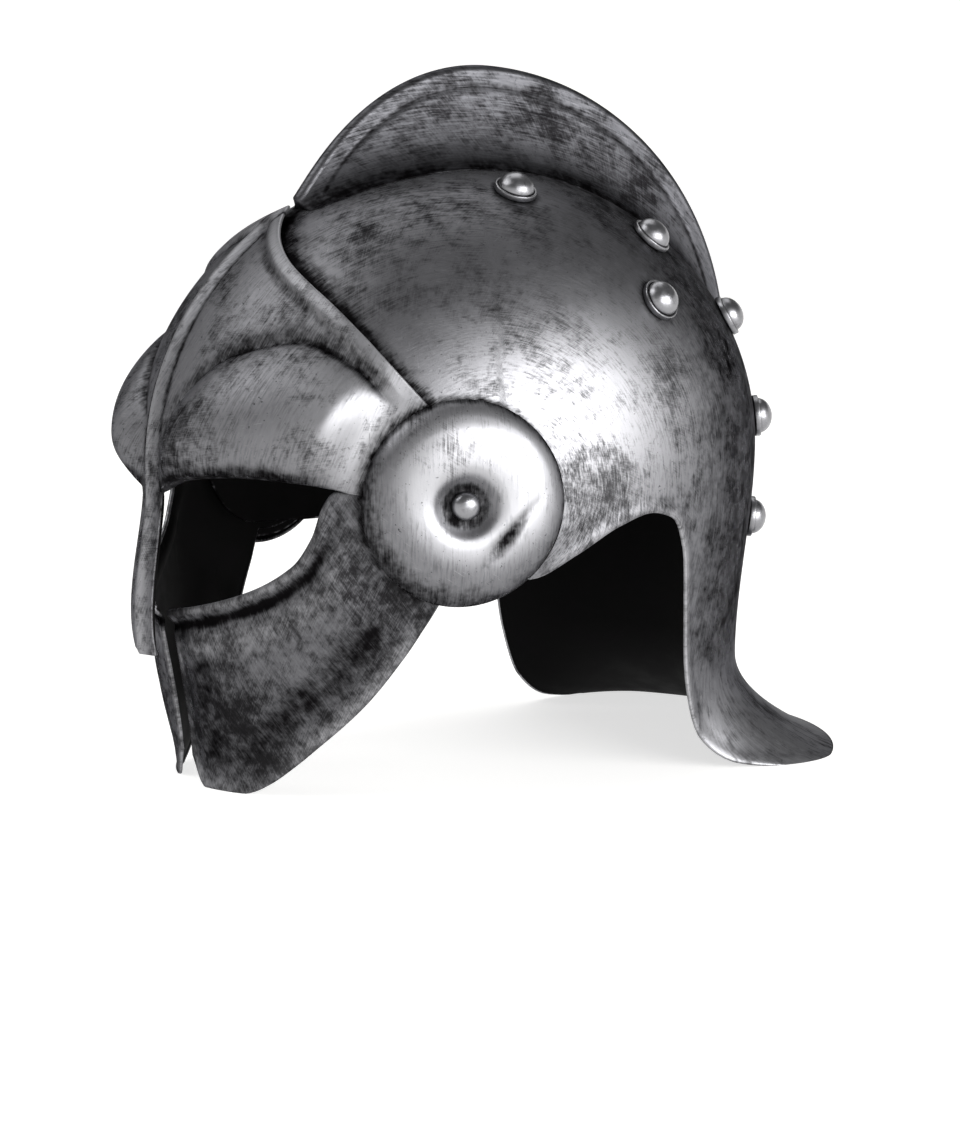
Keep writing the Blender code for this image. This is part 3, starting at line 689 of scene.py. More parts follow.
studPlaces = ((97, 24), (139, 42), (154, 63), (160, 85), (161, 106), (119, 57))  # heading and polar, degrees


def rubbingRound(points):
    # brush coordinates of arcs round the ear: across is the angle from the axis and along the angle round it,
    # counted from below, each made a length; the right side is rubbed as the left is
    axis = np.array(bowl["rubAxis"])
    axis /= np.linalg.norm(axis)
    fromMiddle = points - (0.0, body["centreY"], body["equator"])
    fromMiddle[..., 0] = np.abs(fromMiddle[..., 0])
    direction = fromMiddle / np.linalg.norm(fromMiddle, axis=-1, keepdims=True)
    up = np.cross(axis, (0.0, 1.0, 0.0))
    up /= np.linalg.norm(up)
    forward = np.cross(up, axis)
    across = np.arccos(np.clip(direction @ axis, -1, 1)) * bowl["rubAcross"]
    along = np.arctan2(direction @ forward, -direction @ up) * bowl["rubAlong"]
    return np.stack([across, 0 * across, along], axis=-1)


def sootAndShadeOnBowl(points, headings, heights, polars, toRim, bare):
    # black antiquing and painted shade, the strongest of: beside comb, brow plate, discs and studs, inside
    # the turned edge, and painted shade alone over the back
    _, angle, _, width = combShape()
    sagittal = np.arctan2((points[..., 1] - body["centreY"]) / body["halfLength"],
                          (points[..., 2] - body["equator"]) / body["rise"])
    fromComb = np.abs(points[..., 0]) - np.interp(sagittal, angle, width, left=-1, right=-1)
    alongComb = (sagittal > angle[0]) & (sagittal < angle[-1]) & (polars < quarter)
    combEnd, _ = onDome(angle[-1], 0.0)
    fromBrow = (heights - edgeHeight(headings, outlines["browUpper"])) * 0.72  # the brow's edge runs aslant
    turned = np.degrees(np.abs(headings))
    blackAndShade = [
        beside(fromComb, *bowl["sootAndShadeByComb"]) * alongComb,
        beside(np.linalg.norm(points - combEnd, axis=-1), *bowl["sootAndShadeByCombEnd"]),
        beside(fromBrow, *bowl["sootAndShadeByBrow"]) * (turned < 80),
        beside(earDistance(headings, heights) - ear["radius"], *bowl["sootAndShadowByDisc"]),
        ridge(toRim, *bowl["sootAndShadeBehindBead"]) * bare,
        # painted shade over the back half
        bowl["shadeAtBack"] * smooth((turned - 104) / 32) * smooth((heights - 0.024) / 0.03),
    ]
    for heading, polar in np.radians(studPlaces):
        for side in (-1, 1):
            away = np.linalg.norm(points - onForm(side * heading, polar), axis=-1)
            blackAndShade.append(beside(away - bowl["studRadius"], *bowl["sootAndShadeByStud"]))
    return np.maximum.reduce(blackAndShade)


def buildBowl():
    # the form from the crown down to the rim: each column's polar angle is the rim's times the share down,
    # and its heading shifts on the way from an even one to one that crowds where the rim is steep
    heading = np.linspace(-math.pi, math.pi, 4000)
    rim = edgeHeight(heading, outlines["bowlRim"])
    walked = np.cumsum(np.hypot(body["halfLength"] * np.gradient(heading), 0.6 * np.gradient(rim)))
    walked -= walked[0]
    count = bowl["columns"]
    rimHeading = np.interp(np.linspace(0, walked[-1], count + 1)[:-1], walked, heading)
    evenHeading = np.linspace(-math.pi, math.pi, count + 1)[:-1]
    rimPolar = polarOf(edgeHeight(rimHeading, outlines["bowlRim"]))
    down = rowsWithCrispEnds(bowl["rows"], pole=True)[:, None]
    headings = evenHeading + (rimHeading - evenHeading) * down**1.5
    polars = rimPolar * down
    heights = heightOf(polars)
    turned = np.degrees(np.abs(headings))
    points = onForm(headings, polars)
    normals = formNormal(headings, polars)
    normals[0] = (0, 0, 1)
    toRim = distanceTo(points, points[-1])
    bare = smooth((turned - 84) / 6)  # the turned edge fades out under the brow plate and the disc
    points = points + normals * (ridge(toRim, *bowl["bead"]) * bare)[..., None]
    # a patch rubbed clean that is also a painted highlight, where the side light shines on the bowl
    reach = body["roundRadius"] * np.sin(np.minimum(polars, quarter))
    fromRubbedHighlight = np.hypot((np.abs(headings) - math.radians(bowl["rubbedHighlightHeading"])) * reach,
                         (polars - math.radians(bowl["rubbedHighlightPolar"])) * body["downRadius"])
    wearAndHighlight = np.maximum.reduce([
        ridge(toRim, *bowl["beadWear"]) * bare,
        bowl["rubbedHighlight"] * (1 - smooth((fromRubbedHighlight - bowl["rubbedHighlightRadius"]) / bowl["rubbedHighlightFade"])),
        bowl["flareWear"] * (1 - smooth((heights - 0.006) / 0.03)) * smooth((turned - 118) / 10),
    ])
    sootAndShade = sootAndShadeOnBowl(points, headings, heights, polars, toRim, bare)
    made = sheet("bowlShell", points, normals, sootAndShade, wearAndHighlight, rubbingRound(points), bowlSteel, wrap=True)
    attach(made, "root")
    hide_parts("skull_bowl")


buildBowl()
print("bowl built")


# Comb

def buildComb():
    # each section has a flank whose half width goes through combSection's shares, then a quarter round of the
    # edge's radius, and both again on the other side; it is carried along the dome's middle, with a second,
    # smaller grid as its inside
    share, angle, height, width = combShape()
    height = height[:, None]
    width = width[:, None]
    edge = np.minimum(comb["edge"], np.minimum(0.45 * height, 0.6 * width))  # smaller at the low ends
    up = np.linspace(0, 1, comb["profile"]) ** 1.25  # points crowd towards the foot
    flankUp = (height - edge) * up
    belowTop = height - flankUp
    line = ridge(belowTop, *comb["line"]) * smooth(height / 0.02 - 0.7)  # runs out at the low ends
    fillet = comb["foot"] * np.exp(-flankUp / comb["footHeight"])
    flankAcross = edge + (width - edge) * through(up, combSection) - line + fillet
    turns = np.linspace(0, quarter, 9)[1:]
    across = np.concatenate([flankAcross, edge * np.cos(turns)], axis=1)
    across = np.concatenate([across, -across[:, -2::-1]], axis=1)
    onTop = np.zeros((len(share), len(turns)))
    flankSootAndShade = np.maximum(beside(flankUp, *comb["sootAndShadeAtFoot"]), ridge(belowTop, *comb["sootAndShadeInLine"]))
    halves = [
        (flankUp, height - edge + edge * np.sin(turns)),
        (flankSootAndShade, onTop),
        (ridge(belowTop, *comb["flankWear"]), onTop + comb["topWear"]),
    ]
    halves = [np.concatenate(half, axis=1) for half in halves]
    rise, sootAndShade, wearAndHighlight = [np.concatenate([half, half[:, -2::-1]], axis=1) for half in halves]
    hollow = smooth(share / 0.08 - 0.5) * smooth((1 - share) / 0.08 - 0.5)  # the inside closes at both ends
    within = np.sign(across) * np.maximum(np.abs(across) - 1.3 * body["wall"], 0.3 * np.abs(across))
    lower = rise * hollow[:, None] * np.maximum(height - 1.8 * body["wall"], 0) / height
    _, rising = onDome(angle[:, None], np.zeros((1, 1)))
    outer = onDome(angle[:, None], across)[0] + rising * (rise + comb["lift"])[..., None]
    inner = onDome(angle[:, None], within)[0] + rising * (lower + comb["lift"])[..., None]
    total = rise.size
    index = np.arange(total).reshape(rise.shape)
    border = gridBorder(index)
    onward = np.roll(border, -1)
    rim = np.stack([border, onward, onward + total, border + total], axis=1)
    shell = quads(index)
    along = (angle * (body["rise"] + body["halfLength"]) / 2)[:, None] + 0 * rise
    brush = np.stack([rise, 0.03 * np.sign(across), along], axis=-1)  # the flanks lie apart in the pattern
    fields = dict(sootAndShade=np.tile(sootAndShade.ravel(), 2), wearAndHighlight=np.tile(wearAndHighlight.ravel(), 2),
                  brush=np.tile(brush.reshape(-1, 3), (2, 1)))
    slots = np.concatenate([np.zeros(len(shell)), np.ones(len(shell)), np.zeros(len(rim))])
    made = putMesh("combShell", np.concatenate([outer.reshape(-1, 3), inner.reshape(-1, 3)]),
                   [shell, shell[:, ::-1] + total, rim], fields, [shadedCombSteel, insideBlackAndShade], slots)
    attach(made, "root")
    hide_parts("crest_comb")


buildComb()
print("comb built")


# Brow plate with its nasal

brow = dict(
    columns=150,          # on each half
    rows=112,
    bulge=0.011,          # eyebrow swell
    border=2.0 * mm,      # raised border along the peak
    borderWidth=4.0 * mm,
    borderFade=3.2 * mm,
    keel=2.5 * mm,
    keelHalfWidth=9.0 * mm,
    keelRunOut=9.0 * mm,  # below the peak
    nasalTip=0.058,       # its height
    nasalHalfWidth=0.0085,
    nasalShoulder=math.radians(1.8),  # over which the eye's edge sinks to the tip
    nasalSpread=0.55,     # share that it is wider at the tip
    nasalReach=0.011,     # how far the tip stands out
    seatGap=0.3 * mm,     # to the bowl, where no cheek plate lies between
    crease=(1.2 * mm, 0.0, 1.5 * mm),  # between the swell and the peak
    lip=(0.5 * mm, 1.2 * mm, 1.7 * mm),  # along the lower edge
    rubSlant=24,          # degrees the rubbing is turned
    # black antiquing deepened into painted shade in the crease, beside the border and beside the keel
    sootAndShadeInCrease=(1.0, 0.0, 2.4 * mm),
    sootAndShadeAboveCrease=(0.75, 2.0 * mm, 5.6 * mm),
    sootAndShadeByBorder=(0.70, 3.6 * mm, 2.6 * mm),
    # painted shade where the lid turns under at the eye's edge
    shadeAtEye=(0.90, 3.8 * mm),
    eyeEdge=2.4 * mm,     # painted shade, wholly black up to here
    sootAndShadeByKeel=(0.8, 0.0, 2.6 * mm),
    # black at the disc's edge, and the disc's painted shadow on the brow plate
    sootAndShadowByDisc=(1.0, 3.4 * mm),
    borderWear=(0.45, 2.0 * mm, 2.2 * mm),
    keelWear=(0.60, 0.0, 2.2 * mm),
    nasalWear=(0.85, 0.0, 4.5 * mm),
    templeHighlight=(1.0, 57, 13),          # painted highlight at the swell's end, by heading, in degrees
    swellHighlight=(1.0, 0.55, 0.55),       # the painted highlight's band, by share of the swell's height
)


def browEdges(heading):
    # peak above; below, the eye openings' edge, which sinks to the nasal's tip over its shoulder
    upper = edgeHeight(heading, outlines["browUpper"])
    lower = edgeHeight(heading, outlines["browLower"])
    nasal = brow["nasalHalfWidth"] / body["halfLength"]
    aside = smooth((np.abs(heading) - nasal) / brow["nasalShoulder"])
    lower = brow["nasalTip"] + (lower - brow["nasalTip"]) * aside
    return withTab(heading, upper, lower, ear["radius"] - ear["tabStep"])


def buildBrow():
    # the form between the plate's edges, plus heights along the normal: a level border that rounds off, a
    # swell sin(pi v^0.72)^0.8 from eye edge to crease, a roof-shaped keel, a nasal that stands farther out
    # towards its tip, and a lip, less the crease
    half = crowded(browEdges, 0.0, tabEnd(ear["radius"] - ear["tabStep"]), brow["columns"])
    heading = np.concatenate([-half[:0:-1], half])
    upper, lower = browEdges(heading)
    down = rowsWithCrispEnds(brow["rows"])[:, None]
    polar = polarOf(upper) + (polarOf(lower) - polarOf(upper)) * down
    heading = np.broadcast_to(heading, polar.shape)
    height = heightOf(polar)
    flat = onForm(heading, polar)
    toUpper = distanceTo(flat, flat[0])
    toLower = distanceTo(flat, flat[-1])
    turned = np.abs(heading)
    degrees = np.degrees(turned)
    across = turned * body["halfLength"]
    clear = clearOfDisc(heading, height)
    eyeEdge = edgeHeight(heading, outlines["browLower"])
    crease = edgeHeight(heading, outlines["browCrease"])
    onNasal = turned < brow["nasalHalfWidth"] / body["halfLength"] + brow["nasalShoulder"]
    below = np.clip((eyeEdge - height) / (body["equator"] - brow["nasalTip"]), 0, 1) * onNasal
    border = brow["border"] * (1 - smooth((toUpper - brow["borderWidth"]) / brow["borderFade"])) * clear
    upSwell = np.clip((height - eyeEdge) / (crease - eyeEdge), 0, 1)
    asideNasal = clear * smooth(degrees / 12 - 0.25)
    swell = brow["bulge"] * np.sin(math.pi * upSwell**0.72) ** 0.80 * asideNasal
    fromCrease = (height - crease) * 0.8  # the crease runs aslant
    asideKeel = clear * smooth(degrees / 8 - 0.3)
    roof = np.maximum(1 - across / brow["keelHalfWidth"], 0) ** 1.3
    keel = brow["keel"] * roof * smooth(toUpper / brow["keelRunOut"])
    nasal = brow["nasalReach"] * smooth(1.2 * below)
    onCheekPlate = smooth((degrees - 38) / 11)  # it lies on the bowl, and farther back on the cheek plate too
    seat = body["layer"] * (1 + onCheekPlate) + brow["seatGap"] * (1 - onCheekPlate)
    above = seat + border + swell + keel + nasal + ridge(toLower, *brow["lip"]) * clear
    points = aboveForm(heading, polar, above - ridge(fromCrease, *brow["crease"]) * asideKeel)
    points[..., 0] *= 1 + brow["nasalSpread"] * below
    normals = gridNormals(points)
    keelSootAndShade = ridge(across - brow["keelHalfWidth"], *brow["sootAndShadeByKeel"]) * (below < 0.05)
    sootAndShade = np.maximum.reduce([
        ridge(fromCrease, *brow["sootAndShadeInCrease"]) * asideKeel,
        ridge(fromCrease, *brow["sootAndShadeAboveCrease"]) * asideKeel,
        ridge(toUpper - brow["borderWidth"], *brow["sootAndShadeByBorder"]) * clear,
        # painted shade along the lower edge
        beside(toLower - brow["eyeEdge"], *brow["shadeAtEye"]) * clear * (1 - smooth(3 * below)),
        keelSootAndShade * smooth((height - eyeEdge) / 0.02),
        beside(earDistance(heading, height) - ear["radius"], *brow["sootAndShadowByDisc"]),
    ])
    wearAndHighlight = np.maximum.reduce([
        ridge(toUpper, *brow["borderWear"]) * clear,
        ridge(across, *brow["keelWear"]),
        ridge(across, *brow["nasalWear"]) * smooth(4 * below),
        # painted highlight on the swell by the temple
        ridge(degrees, *brow["templeHighlight"]) * ridge(upSwell, *brow["swellHighlight"]) * (height > eyeEdge),
    ])
    brush = slanted(heading * body["halfLength"], polar * body["downRadius"], brow["rubSlant"])
    made = sheet("browPlateShell", points, normals, sootAndShade, wearAndHighlight, brush, litBrowSteel)
    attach(made, "root")
    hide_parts("brow_plate")


buildBrow()
print("brow plate built")


# Cheek plates

cheek = dict(
    columns=150,
    rows=104,
    slotHalfWidth=0.010,
    slotEdge=0.3 * mm / 0.13,  # heading of a narrow first column, which keeps the slot's edge crisp
    bulge=0.005,          # swell between the edges
    eyeLip=(1.7 * mm, 1.6 * mm, 2.5 * mm),
    groove=(0.9 * mm, 6.6 * mm, 2.3 * mm),     # below the lip
    edgeBead=(0.9 * mm, 1.3 * mm, 1.9 * mm),   # along jaw and slot
    trough=(1.4 * mm, 16 * mm, 8.0 * mm),      # along the jaw, where painted shade darkens it
    rubSlant=-34,         # degrees the rubbing is turned
    rubRadius=0.118,      # metres for a radian of heading
    # black in the groove, widened into painted shade under the lip
    sootAndShadeInGroove=(1.25, 6.8 * mm, 3.2 * mm),
    # painted shade: a broad dark band along the trough
    shadeInTrough=(0.92, 17 * mm, 11 * mm),
    # the disc's painted shadow on the cheek plate
    sootAndShadowByDisc=(1.0, 5.0 * mm),
    lipWear=(0.35, 1.4 * mm, 1.8 * mm),
    jawWear=(0.30, 1.2 * mm, 4.0 * mm),
    jawEndWear=1.4,       # how much more of it there is towards the ear
    # a bright band on the swell below the eye: painted highlight
    swellHighlight=(0.30, 16 * mm, 5.0 * mm),
)


def cheekEdges(heading):
    # the eye opening's lower edge above, jaw and foot below
    upper = edgeHeight(heading, outlines["cheekUpper"])
    lower = edgeHeight(heading, outlines["cheekLower"])
    return withTab(heading, upper, lower, ear["radius"] - 2 * ear["tabStep"])


def buildCheek(side, name, node):
    # the form between the plate's edges, plus heights along the normal: a swell sin(pi v) between the edges,
    # a lip below the eye and a bead along jaw and slot, less a groove below the lip and a trough by the jaw
    start = cheek["slotHalfWidth"] / body["halfLength"]
    end = tabEnd(ear["radius"] - 2 * ear["tabStep"])
    inner = crowded(cheekEdges, start, end, cheek["columns"])
    heading = np.concatenate([[start], [start + cheek["slotEdge"]], inner[1:]])
    upper, lower = cheekEdges(heading)
    down = rowsWithCrispEnds(cheek["rows"])[:, None]
    polar = polarOf(upper) + (polarOf(lower) - polarOf(upper)) * down
    heading = np.broadcast_to(heading, polar.shape)
    degrees = np.degrees(heading)
    height = heightOf(polar)
    flat = onForm(heading, polar)
    toUpper = distanceTo(flat, flat[0])
    toLower = distanceTo(flat, np.concatenate([flat[-1], flat[:, 0]]))
    clear = clearOfDisc(heading, height)
    inside = smooth((toUpper - 14 * mm) / (10 * mm)) * clear
    swell = cheek["bulge"] * np.sin(math.pi * down) * clear * smooth((degrees - 4.2) / 10)
    raised = ridge(toUpper, *cheek["eyeLip"]) + ridge(toLower, *cheek["edgeBead"])
    lowered = ridge(toUpper, *cheek["groove"]) * clear + ridge(toLower, *cheek["trough"]) * inside
    points = aboveForm(heading, polar, body["layer"] + swell + raised * clear - lowered)
    normals = gridNormals(points)
    sootAndShade = np.maximum.reduce([
        ridge(toUpper, *cheek["sootAndShadeInGroove"]) * clear,
        ridge(toLower, *cheek["shadeInTrough"]) * inside,
        beside(earDistance(heading, height) - ear["radius"], *cheek["sootAndShadowByDisc"]),
    ])
    towardsEar = smooth((degrees - 30) / 14)
    wearAndHighlight = np.maximum.reduce([
        ridge(toUpper, *cheek["lipWear"]),
        ridge(toLower, *cheek["jawWear"]) * (1 + cheek["jawEndWear"] * towardsEar),
        ridge(toUpper, *cheek["swellHighlight"]),
    ]) * clear
    brush = slanted(heading * cheek["rubRadius"], polar * body["downRadius"], cheek["rubSlant"])
    if side < 0:
        points, normals, sootAndShade, wearAndHighlight, brush = mirrored(points, normals, sootAndShade, wearAndHighlight, brush, 0.4)
    made = sheet(name, points, normals, sootAndShade, wearAndHighlight, brush, shadedCheekSteel)
    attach(made, "root")
    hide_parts(node)


buildCheek(1, "cheekPlateLeftShell", "cheek_plate_left")
buildCheek(-1, "cheekPlateRightShell", "cheek_plate_right")
print("cheek plates built")


# Ear discs

disc = dict(
    rings=84,
    turns=150,
    dentBelow=40,         # degrees below the level through the rivet
    dentOut=19.5 * mm,    # from the rivet
    dentDepth=1.7 * mm,
    dentHalfLength=12.5 * mm,
    dentBreadth=3.3 * mm,
    dentTaper=1.5 * mm,   # how much narrower its upper end is
    # painted shade in the dent
    dentShade=1.05,
    # black round the rivet and at the rim: antiquing deepened into painted shade
    hub=0.20,             # share of the radius that is wholly black round the rivet
    hubSootAndShade=(1.0, 0.05),
    rimSootAndShade=(0.9, 1.0, 0.05),
    lowShade=0.78,         # painted shade along the lower front, where the helmet shades it
    # rubbed bright middle, widened into a painted highlight on the side away from the shade
    rubAndHighlight=0.8,
    lowest=28,            # degrees that the side with painted shade is turned towards the front
)
# radius as a share of the disc's, height as a share of its dome's
discSection = ((0.0, 0.30), (0.17, 0.30), (0.22, 0.40), (0.33, 0.83), (0.42, 0.95), (0.56, 1.0), (0.72, 0.92),
               (0.84, 0.72), (0.92, 0.46), (0.97, 0.20), (1.0, 0.0))


def buildDisc(side, name, node):
    # discSection's profile turned round the ear rivet and laid on the form, less a long dent behind and below
    # the rivet, across the radius: a bell both ways, narrower at its upper end
    rings = np.concatenate([[0.0], np.linspace(0.012, 0.997, disc["rings"]), [1.0]])[:, None]
    radius = ear["radius"] * rings
    turn = np.linspace(0, 2 * math.pi, disc["turns"] + 1)[:-1]
    dome = ear["dome"] * through(rings, discSection)
    heading = ear["heading"] + radius * np.cos(turn) / ear["turn"]
    height = ear["height"] + radius * np.sin(turn)
    polar = polarOf(height)
    aslant = turn + math.radians(disc["dentBelow"])
    onward = radius * np.sin(aslant)
    breadth = disc["dentBreadth"] - disc["dentTaper"] * smooth(onward / (24 * mm) + 0.5)
    away = np.hypot((radius * np.cos(aslant) - disc["dentOut"]) / breadth, onward / disc["dentHalfLength"])
    dent = bell(away, 1.0)
    points = aboveForm(heading, polar, 3 * body["layer"] + dome - disc["dentDepth"] * dent)
    normals = gridNormals(np.concatenate([points[:, -1:], points, points[:, :1]], axis=1))[:, 1:-1]
    normals[0] = normals[1].mean(axis=0)
    share = rings + 0 * heading
    below = 0.5 - 0.5 * np.sin(turn + math.radians(disc["lowest"]))  # 1 at the lower front, 0 opposite
    # painted shade spreads inwards from the rim where it is lowest, and the middle and the side opposite are
    # bright with wear and a painted highlight
    shadedLowRim = smooth((share - 0.56 - 0.30 * (1 - below)) / 0.40) * smooth(below / 0.55)
    sootAndShade = np.maximum.reduce([beside(share - disc["hub"], *disc["hubSootAndShade"]), ridge(share, *disc["rimSootAndShade"]),
                               disc["dentShade"] * dent, disc["lowShade"] * shadedLowRim])
    # brighter towards the middle and the upper back: wear and painted highlight
    polishedAndLit = 1 - smooth((share - 0.30 - 0.45 * (1 - below)) / 0.35)
    wearAndHighlight = disc["rubAndHighlight"] * polishedAndLit * smooth((share - 0.28) / 0.08)
    brush = np.stack([radius * np.cos(turn), 0 * heading, radius * np.sin(turn)], axis=-1)
    if side < 0:
        points, normals, sootAndShade, wearAndHighlight, brush = mirrored(points, normals, sootAndShade, wearAndHighlight, brush, 0.2)
    made = sheet(name, points, normals, sootAndShade, wearAndHighlight, brush, litDiscSteel, wrap=True)
    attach(made, "root")
    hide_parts(node)


buildDisc(1, "earDiscLeftShell", "ear_disc_left")
buildDisc(-1, "earDiscRightShell", "ear_disc_right")
print("ear discs built")


# Rivets

rivets = dict(
    turns=48,
    gap=0.3 * mm,         # between a sheet and a clenched end
    shankRadius=2.5 * mm,
    clenchRadius=4.8 * mm,
    clenchHeight=1.6 * mm,
    studHeight=8.0 * mm,
    collarHeight=2.4 * mm,
    collarLand=0.9 * mm,  # flat top of the collar
    grooveWidth=0.6 * mm,
    grooveDepth=0.7 * mm,
    domeInset=1.3 * mm,   # from the collar's edge to the dome's
    earRadius=5.8 * mm,
    earFoot=0.5 * mm,
    earHeight=4.9 * mm,
)


def rounded(points, radius, steps=4):
    # a profile of (radius, height) corners with each inner corner cut to a quadratic curve
    corners = np.array(points, float)
    kept = [corners[:1]]
    share = np.linspace(0, 1, steps)[:, None]
    for before, corner, after in zip(corners, corners[1:], corners[2:]):
        toBefore = before - corner
        toAfter = after - corner
        reach = min(radius, 0.45 * np.linalg.norm(toBefore), 0.45 * np.linalg.norm(toAfter))
        first = corner + toBefore / np.linalg.norm(toBefore) * reach
        last = corner + toAfter / np.linalg.norm(toAfter) * reach
        kept.append((1 - share) ** 2 * first + 2 * share * (1 - share) * corner + share**2 * last)
    kept.append(corners[-1:])
    return np.concatenate(kept)


def domeProfile(radius, foot, top, steps=14):
    # quarter ellipse from the edge to the middle
    turn = np.linspace(0, quarter, steps)
    return np.stack([radius * np.cos(turn), foot + (top - foot) * np.sin(turn)], axis=1)


def turnedRivet(name, node, profile, blackAndShade, point, normal):
    # the profile turned round the surface's normal; its two ends lie on the axis
    profile = profile.copy()
    profile[[0, -1], 0] = 0.0
    side = np.cross(normal, (0.0, 0.31, 0.95))
    side /= np.linalg.norm(side)
    other = np.cross(normal, side)
    turn = np.linspace(0, 2 * math.pi, rivets["turns"] + 1)[:-1]
    ring = np.cos(turn)[:, None] * side + np.sin(turn)[:, None] * other
    radii, heights = profile[1:-1].T
    turnedGrid = radii[:, None, None] * ring + heights[:, None, None] * normal
    ends = profile[[0, -1], 1][:, None] * normal
    points = np.concatenate([turnedGrid.reshape(-1, 3), ends]) + point
    rows, columns = len(radii), rivets["turns"]
    index = np.arange(rows * columns).reshape(rows, columns)
    index = np.hstack([index, index[:, :1]])
    shell = quads(index)[:, ::-1]
    low, high = rows * columns, rows * columns + 1
    lowFan = np.stack([np.full(columns, low), index[0, 1:], index[0, :-1]], axis=1)
    highFan = np.stack([np.full(columns, high), index[-1, :-1], index[-1, 1:]], axis=1)
    # the hidden end is black with painted shade, the top plain
    sootAndShade = np.concatenate([np.repeat(blackAndShade(radii, heights), columns), [0.9, 0.0]])
    made = putMesh(name, points, [shell, lowFan, highFan], dict(sootAndShade=sootAndShade), [rivetSteel])
    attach(made, "root")
    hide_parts(node)


def inwardEnd(depth):
    # corners of the clenched end and the shank below a head
    low = -depth - rivets["clenchHeight"]
    clench = rivets["clenchRadius"]
    shank = rivets["shankRadius"]
    return [(0, low), (clench, low), (clench, -depth), (shank, -depth), (shank, 0.0)]


def buildStuds():
    # low collar with a turned groove, and a polished dome on it
    radius = bowl["studRadius"]
    collar = rivets["collarHeight"]
    land = radius - rivets["collarLand"]
    bottom = collar - rivets["grooveDepth"]
    dome = radius - rivets["domeInset"]
    head = [(radius, 0.0), (radius, collar), (land, collar), (land - rivets["grooveWidth"] / 2, bottom),
            (land - rivets["grooveWidth"], bottom)]
    corners = rounded(inwardEnd(body["wall"] + rivets["gap"]) + head, 0.5 * mm)
    profile = np.concatenate([corners, domeProfile(dome, collar - 0.3 * mm, rivets["studHeight"])])

    def blackAndShade(r, z):
        # black and painted shade in the groove, along the foot and over the whole hidden end
        inGroove = bell(r - dome, 0.4 * mm) * bell(z - (collar - 0.5 * mm), 0.6 * mm)
        return np.maximum.reduce([inGroove, 0.7 * bell(z, 0.5 * mm), 1.0 * (z < -0.2 * mm)])

    for side, label in ((1, "Left"), (-1, "Right")):
        mirror = np.array((side, 1, 1))
        for number, (heading, polar) in enumerate(np.radians(studPlaces), start=1):
            normal = formNormal(heading, polar) * mirror
            point = onForm(heading, polar) * mirror + normal * 0.05 * mm
            node = f"crown_stud_{label.lower()}_{number}"
            turnedRivet(f"crownStud{label}{number}", node, profile, blackAndShade, point, normal)


def buildEarRivets():
    # plain domed head, and a shank through disc, brow plate, cheek plate and bowl
    seat = 3 * body["layer"] + ear["hub"]
    corners = rounded(inwardEnd(seat + body["wall"] + rivets["gap"]) + [(rivets["earRadius"], 0.0)], 0.3 * mm)
    dome = domeProfile(rivets["earRadius"], rivets["earFoot"], rivets["earHeight"])
    profile = np.concatenate([corners, dome])

    def blackAndShade(r, z):
        # black and painted shade round the foot and over the whole hidden end
        return np.maximum(0.9 * bell(z - 0.2 * mm, 0.6 * mm), 1.0 * (z < -0.2 * mm))

    for side, label in ((1, "Left"), (-1, "Right")):
        mirror = np.array((side, 1, 1))
        polar = polarOf(ear["height"])
        normal = formNormal(ear["heading"], polar) * mirror
        point = onForm(ear["heading"], polar) * mirror + normal * seat
        turnedRivet(f"earRivet{label}", f"ear_rivet_{label.lower()}", profile, blackAndShade, point, normal)


buildStuds()
buildEarRivets()
# the flat rivets under the ear discs keep their CAD shape, in the near-black inside steel that also paints
# the shade there
for label in ("left", "right"):
    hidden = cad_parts["tab_rivet_" + label]
    hidden.data.materials.clear()
    hidden.data.materials.append(insideBlackAndShade)
print("rivets built")


# Floor, light and camera

stage = dict(
    floor="#cecdcb",
    glowColour="#ffffff",
    glow=0.68,            # light through the floor from below, as on a studio light table
    roughness=0.85,
    level=(0.02, 0.4, 1.2, 2.4),  # radii of the level floor's rings
    radius=3.4,           # level floor, then a cove up to a round wall
    cove=0.9,
    wall=0.5,
    room="#dcdcdc",
    roomLight=0.22,
    lampAim=(0.0, 0.0, 0.13),     # the helmet's middle
)
# headings as the camera's: 0 in front of the face, 90 on the wearer's left
lamps = {
    "big side window": dict(heading=108, height=0.56, distance=1.8, width=1.8, tall=1.05, watts=46),
    "overhead": dict(heading=250, height=2.4, distance=1.3, width=2.0, tall=2.0, watts=20),
    "front, high": dict(heading=345, height=1.9, distance=1.5, width=1.4, tall=1.4, watts=22),
}
camera = dict(
    heading=62.5,
    elevation=9.0,
    distance=1.41,
    lens=105,             # mm, as is the sensor's width
    sensor=36,
    aim=(0.0, 0.0, 0.079),
)


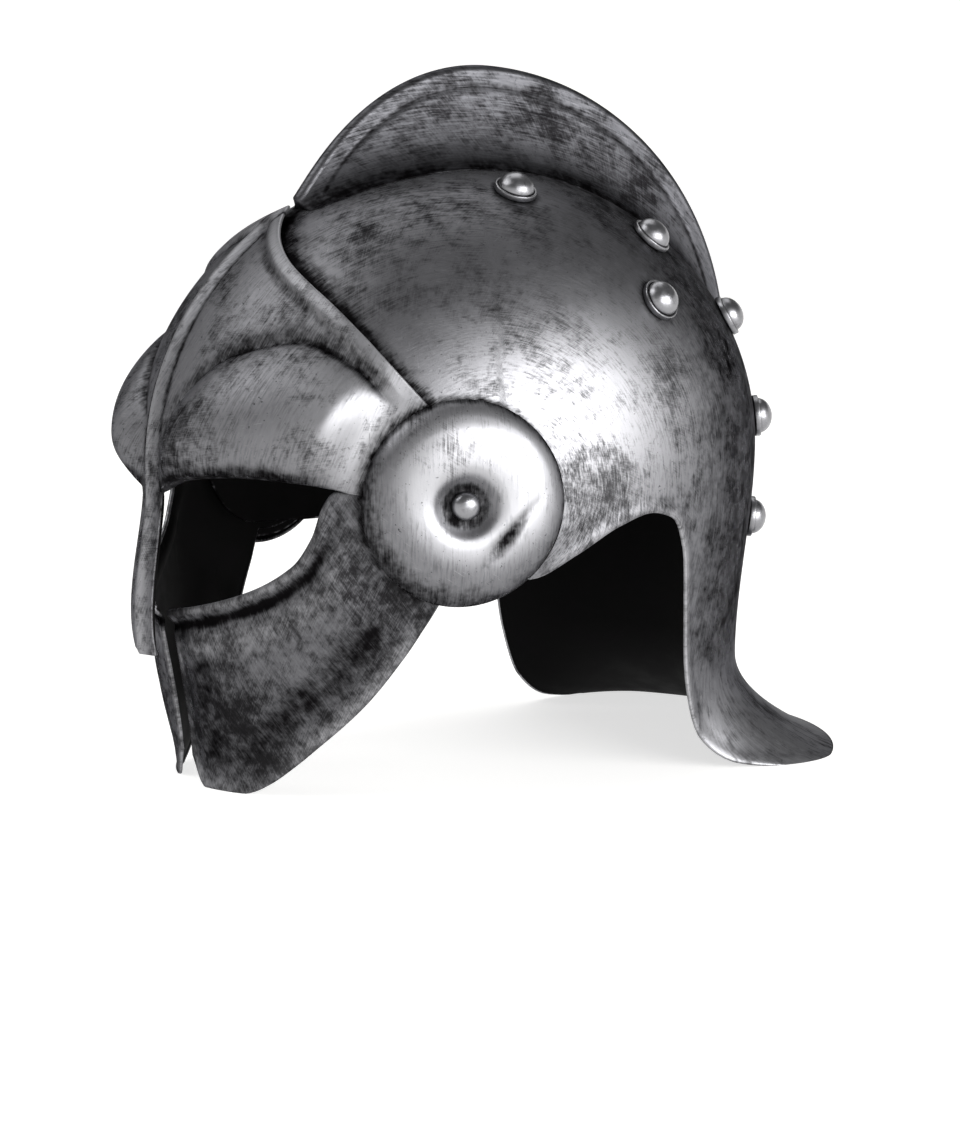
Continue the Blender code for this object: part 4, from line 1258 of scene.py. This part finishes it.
def buildStage():
    # a profile (level, quarter round, upright) turned round the vertical
    turn = np.linspace(0, quarter, 16)
    level = stage["level"]
    wallRadius = stage["radius"] + stage["cove"]
    r = np.concatenate([level, stage["radius"] + stage["cove"] * np.sin(turn), [wallRadius]])
    coveHeight = stage["cove"] * (1 - np.cos(turn))
    z = np.concatenate([np.zeros(len(level)), coveHeight, [stage["cove"] + stage["wall"]]])
    around = np.linspace(0, 2 * math.pi, 97)[:-1]
    r, z = r[:, None], z[:, None]
    points = np.stack([r * np.cos(around), r * np.sin(around), z + 0 * around], axis=-1)
    rows, columns = points.shape[:2]
    index = np.arange(rows * columns).reshape(rows, columns)
    fan = np.stack([np.full(columns, rows * columns), index[0], np.roll(index[0], -1)], axis=1)
    index = np.hstack([index, index[:, :1]])
    # Pale matt floor, lit from below so that it photographs white.
    material, _, shader = blank("pale matt floor")
    shader.inputs["Base Color"].default_value = linear(stage["floor"])
    shader.inputs["Roughness"].default_value = stage["roughness"]
    shader.inputs["Emission Color"].default_value = linear(stage["glowColour"])
    shader.inputs["Emission Strength"].default_value = stage["glow"]
    points = np.concatenate([points.reshape(-1, 3), [[0, 0, 0]]])
    made = putMesh("studioFloor", points, [quads(index), fan], {}, [material])


def addLight(name, heading, height, distance, width, tall, watts):
    # a soft rectangular light at (d sin h, -d cos h, height), aimed at the helmet
    light = bpy.data.lights.new(name, "AREA")
    light.shape = "RECTANGLE"
    light.size = width
    light.size_y = tall
    light.energy = watts
    made = bpy.data.objects.new(name, light)
    made.visible_camera = False
    turn = math.radians(heading)
    made.location = (distance * math.sin(turn), -distance * math.cos(turn), height)
    made.rotation_euler = (Vector(stage["lampAim"]) - made.location).to_track_quat("-Z", "Y").to_euler()
    bpy.context.scene.collection.objects.link(made)


def addCamera():
    # aim + distance (sin h cos e, -cos h cos e, sin e), facing the aim
    lens = bpy.data.cameras.new("camera")
    lens.lens = camera["lens"]
    lens.sensor_width = camera["sensor"]
    viewer = bpy.data.objects.new("camera", lens)
    turn = math.radians(camera["heading"])
    lift = math.radians(camera["elevation"])
    back = Vector((math.sin(turn) * math.cos(lift), -math.cos(turn) * math.cos(lift), math.sin(lift)))
    viewer.location = Vector(camera["aim"]) + back * camera["distance"]
    viewer.rotation_euler = back.to_track_quat("Z", "Y").to_euler()
    bpy.context.scene.collection.objects.link(viewer)
    bpy.context.scene.camera = viewer


buildStage()
for name, place in lamps.items():
    addLight(name, **place)
world = bpy.data.worlds.new("room")
world.use_nodes = True
world.node_tree.nodes["Background"].inputs["Color"].default_value = linear(stage["room"])
world.node_tree.nodes["Background"].inputs["Strength"].default_value = stage["roomLight"]
bpy.context.scene.world = world
bpy.context.scene.view_settings.view_transform = "Standard"  # plain sRGB, as the photograph is
addCamera()
print("stage, lights and camera set")
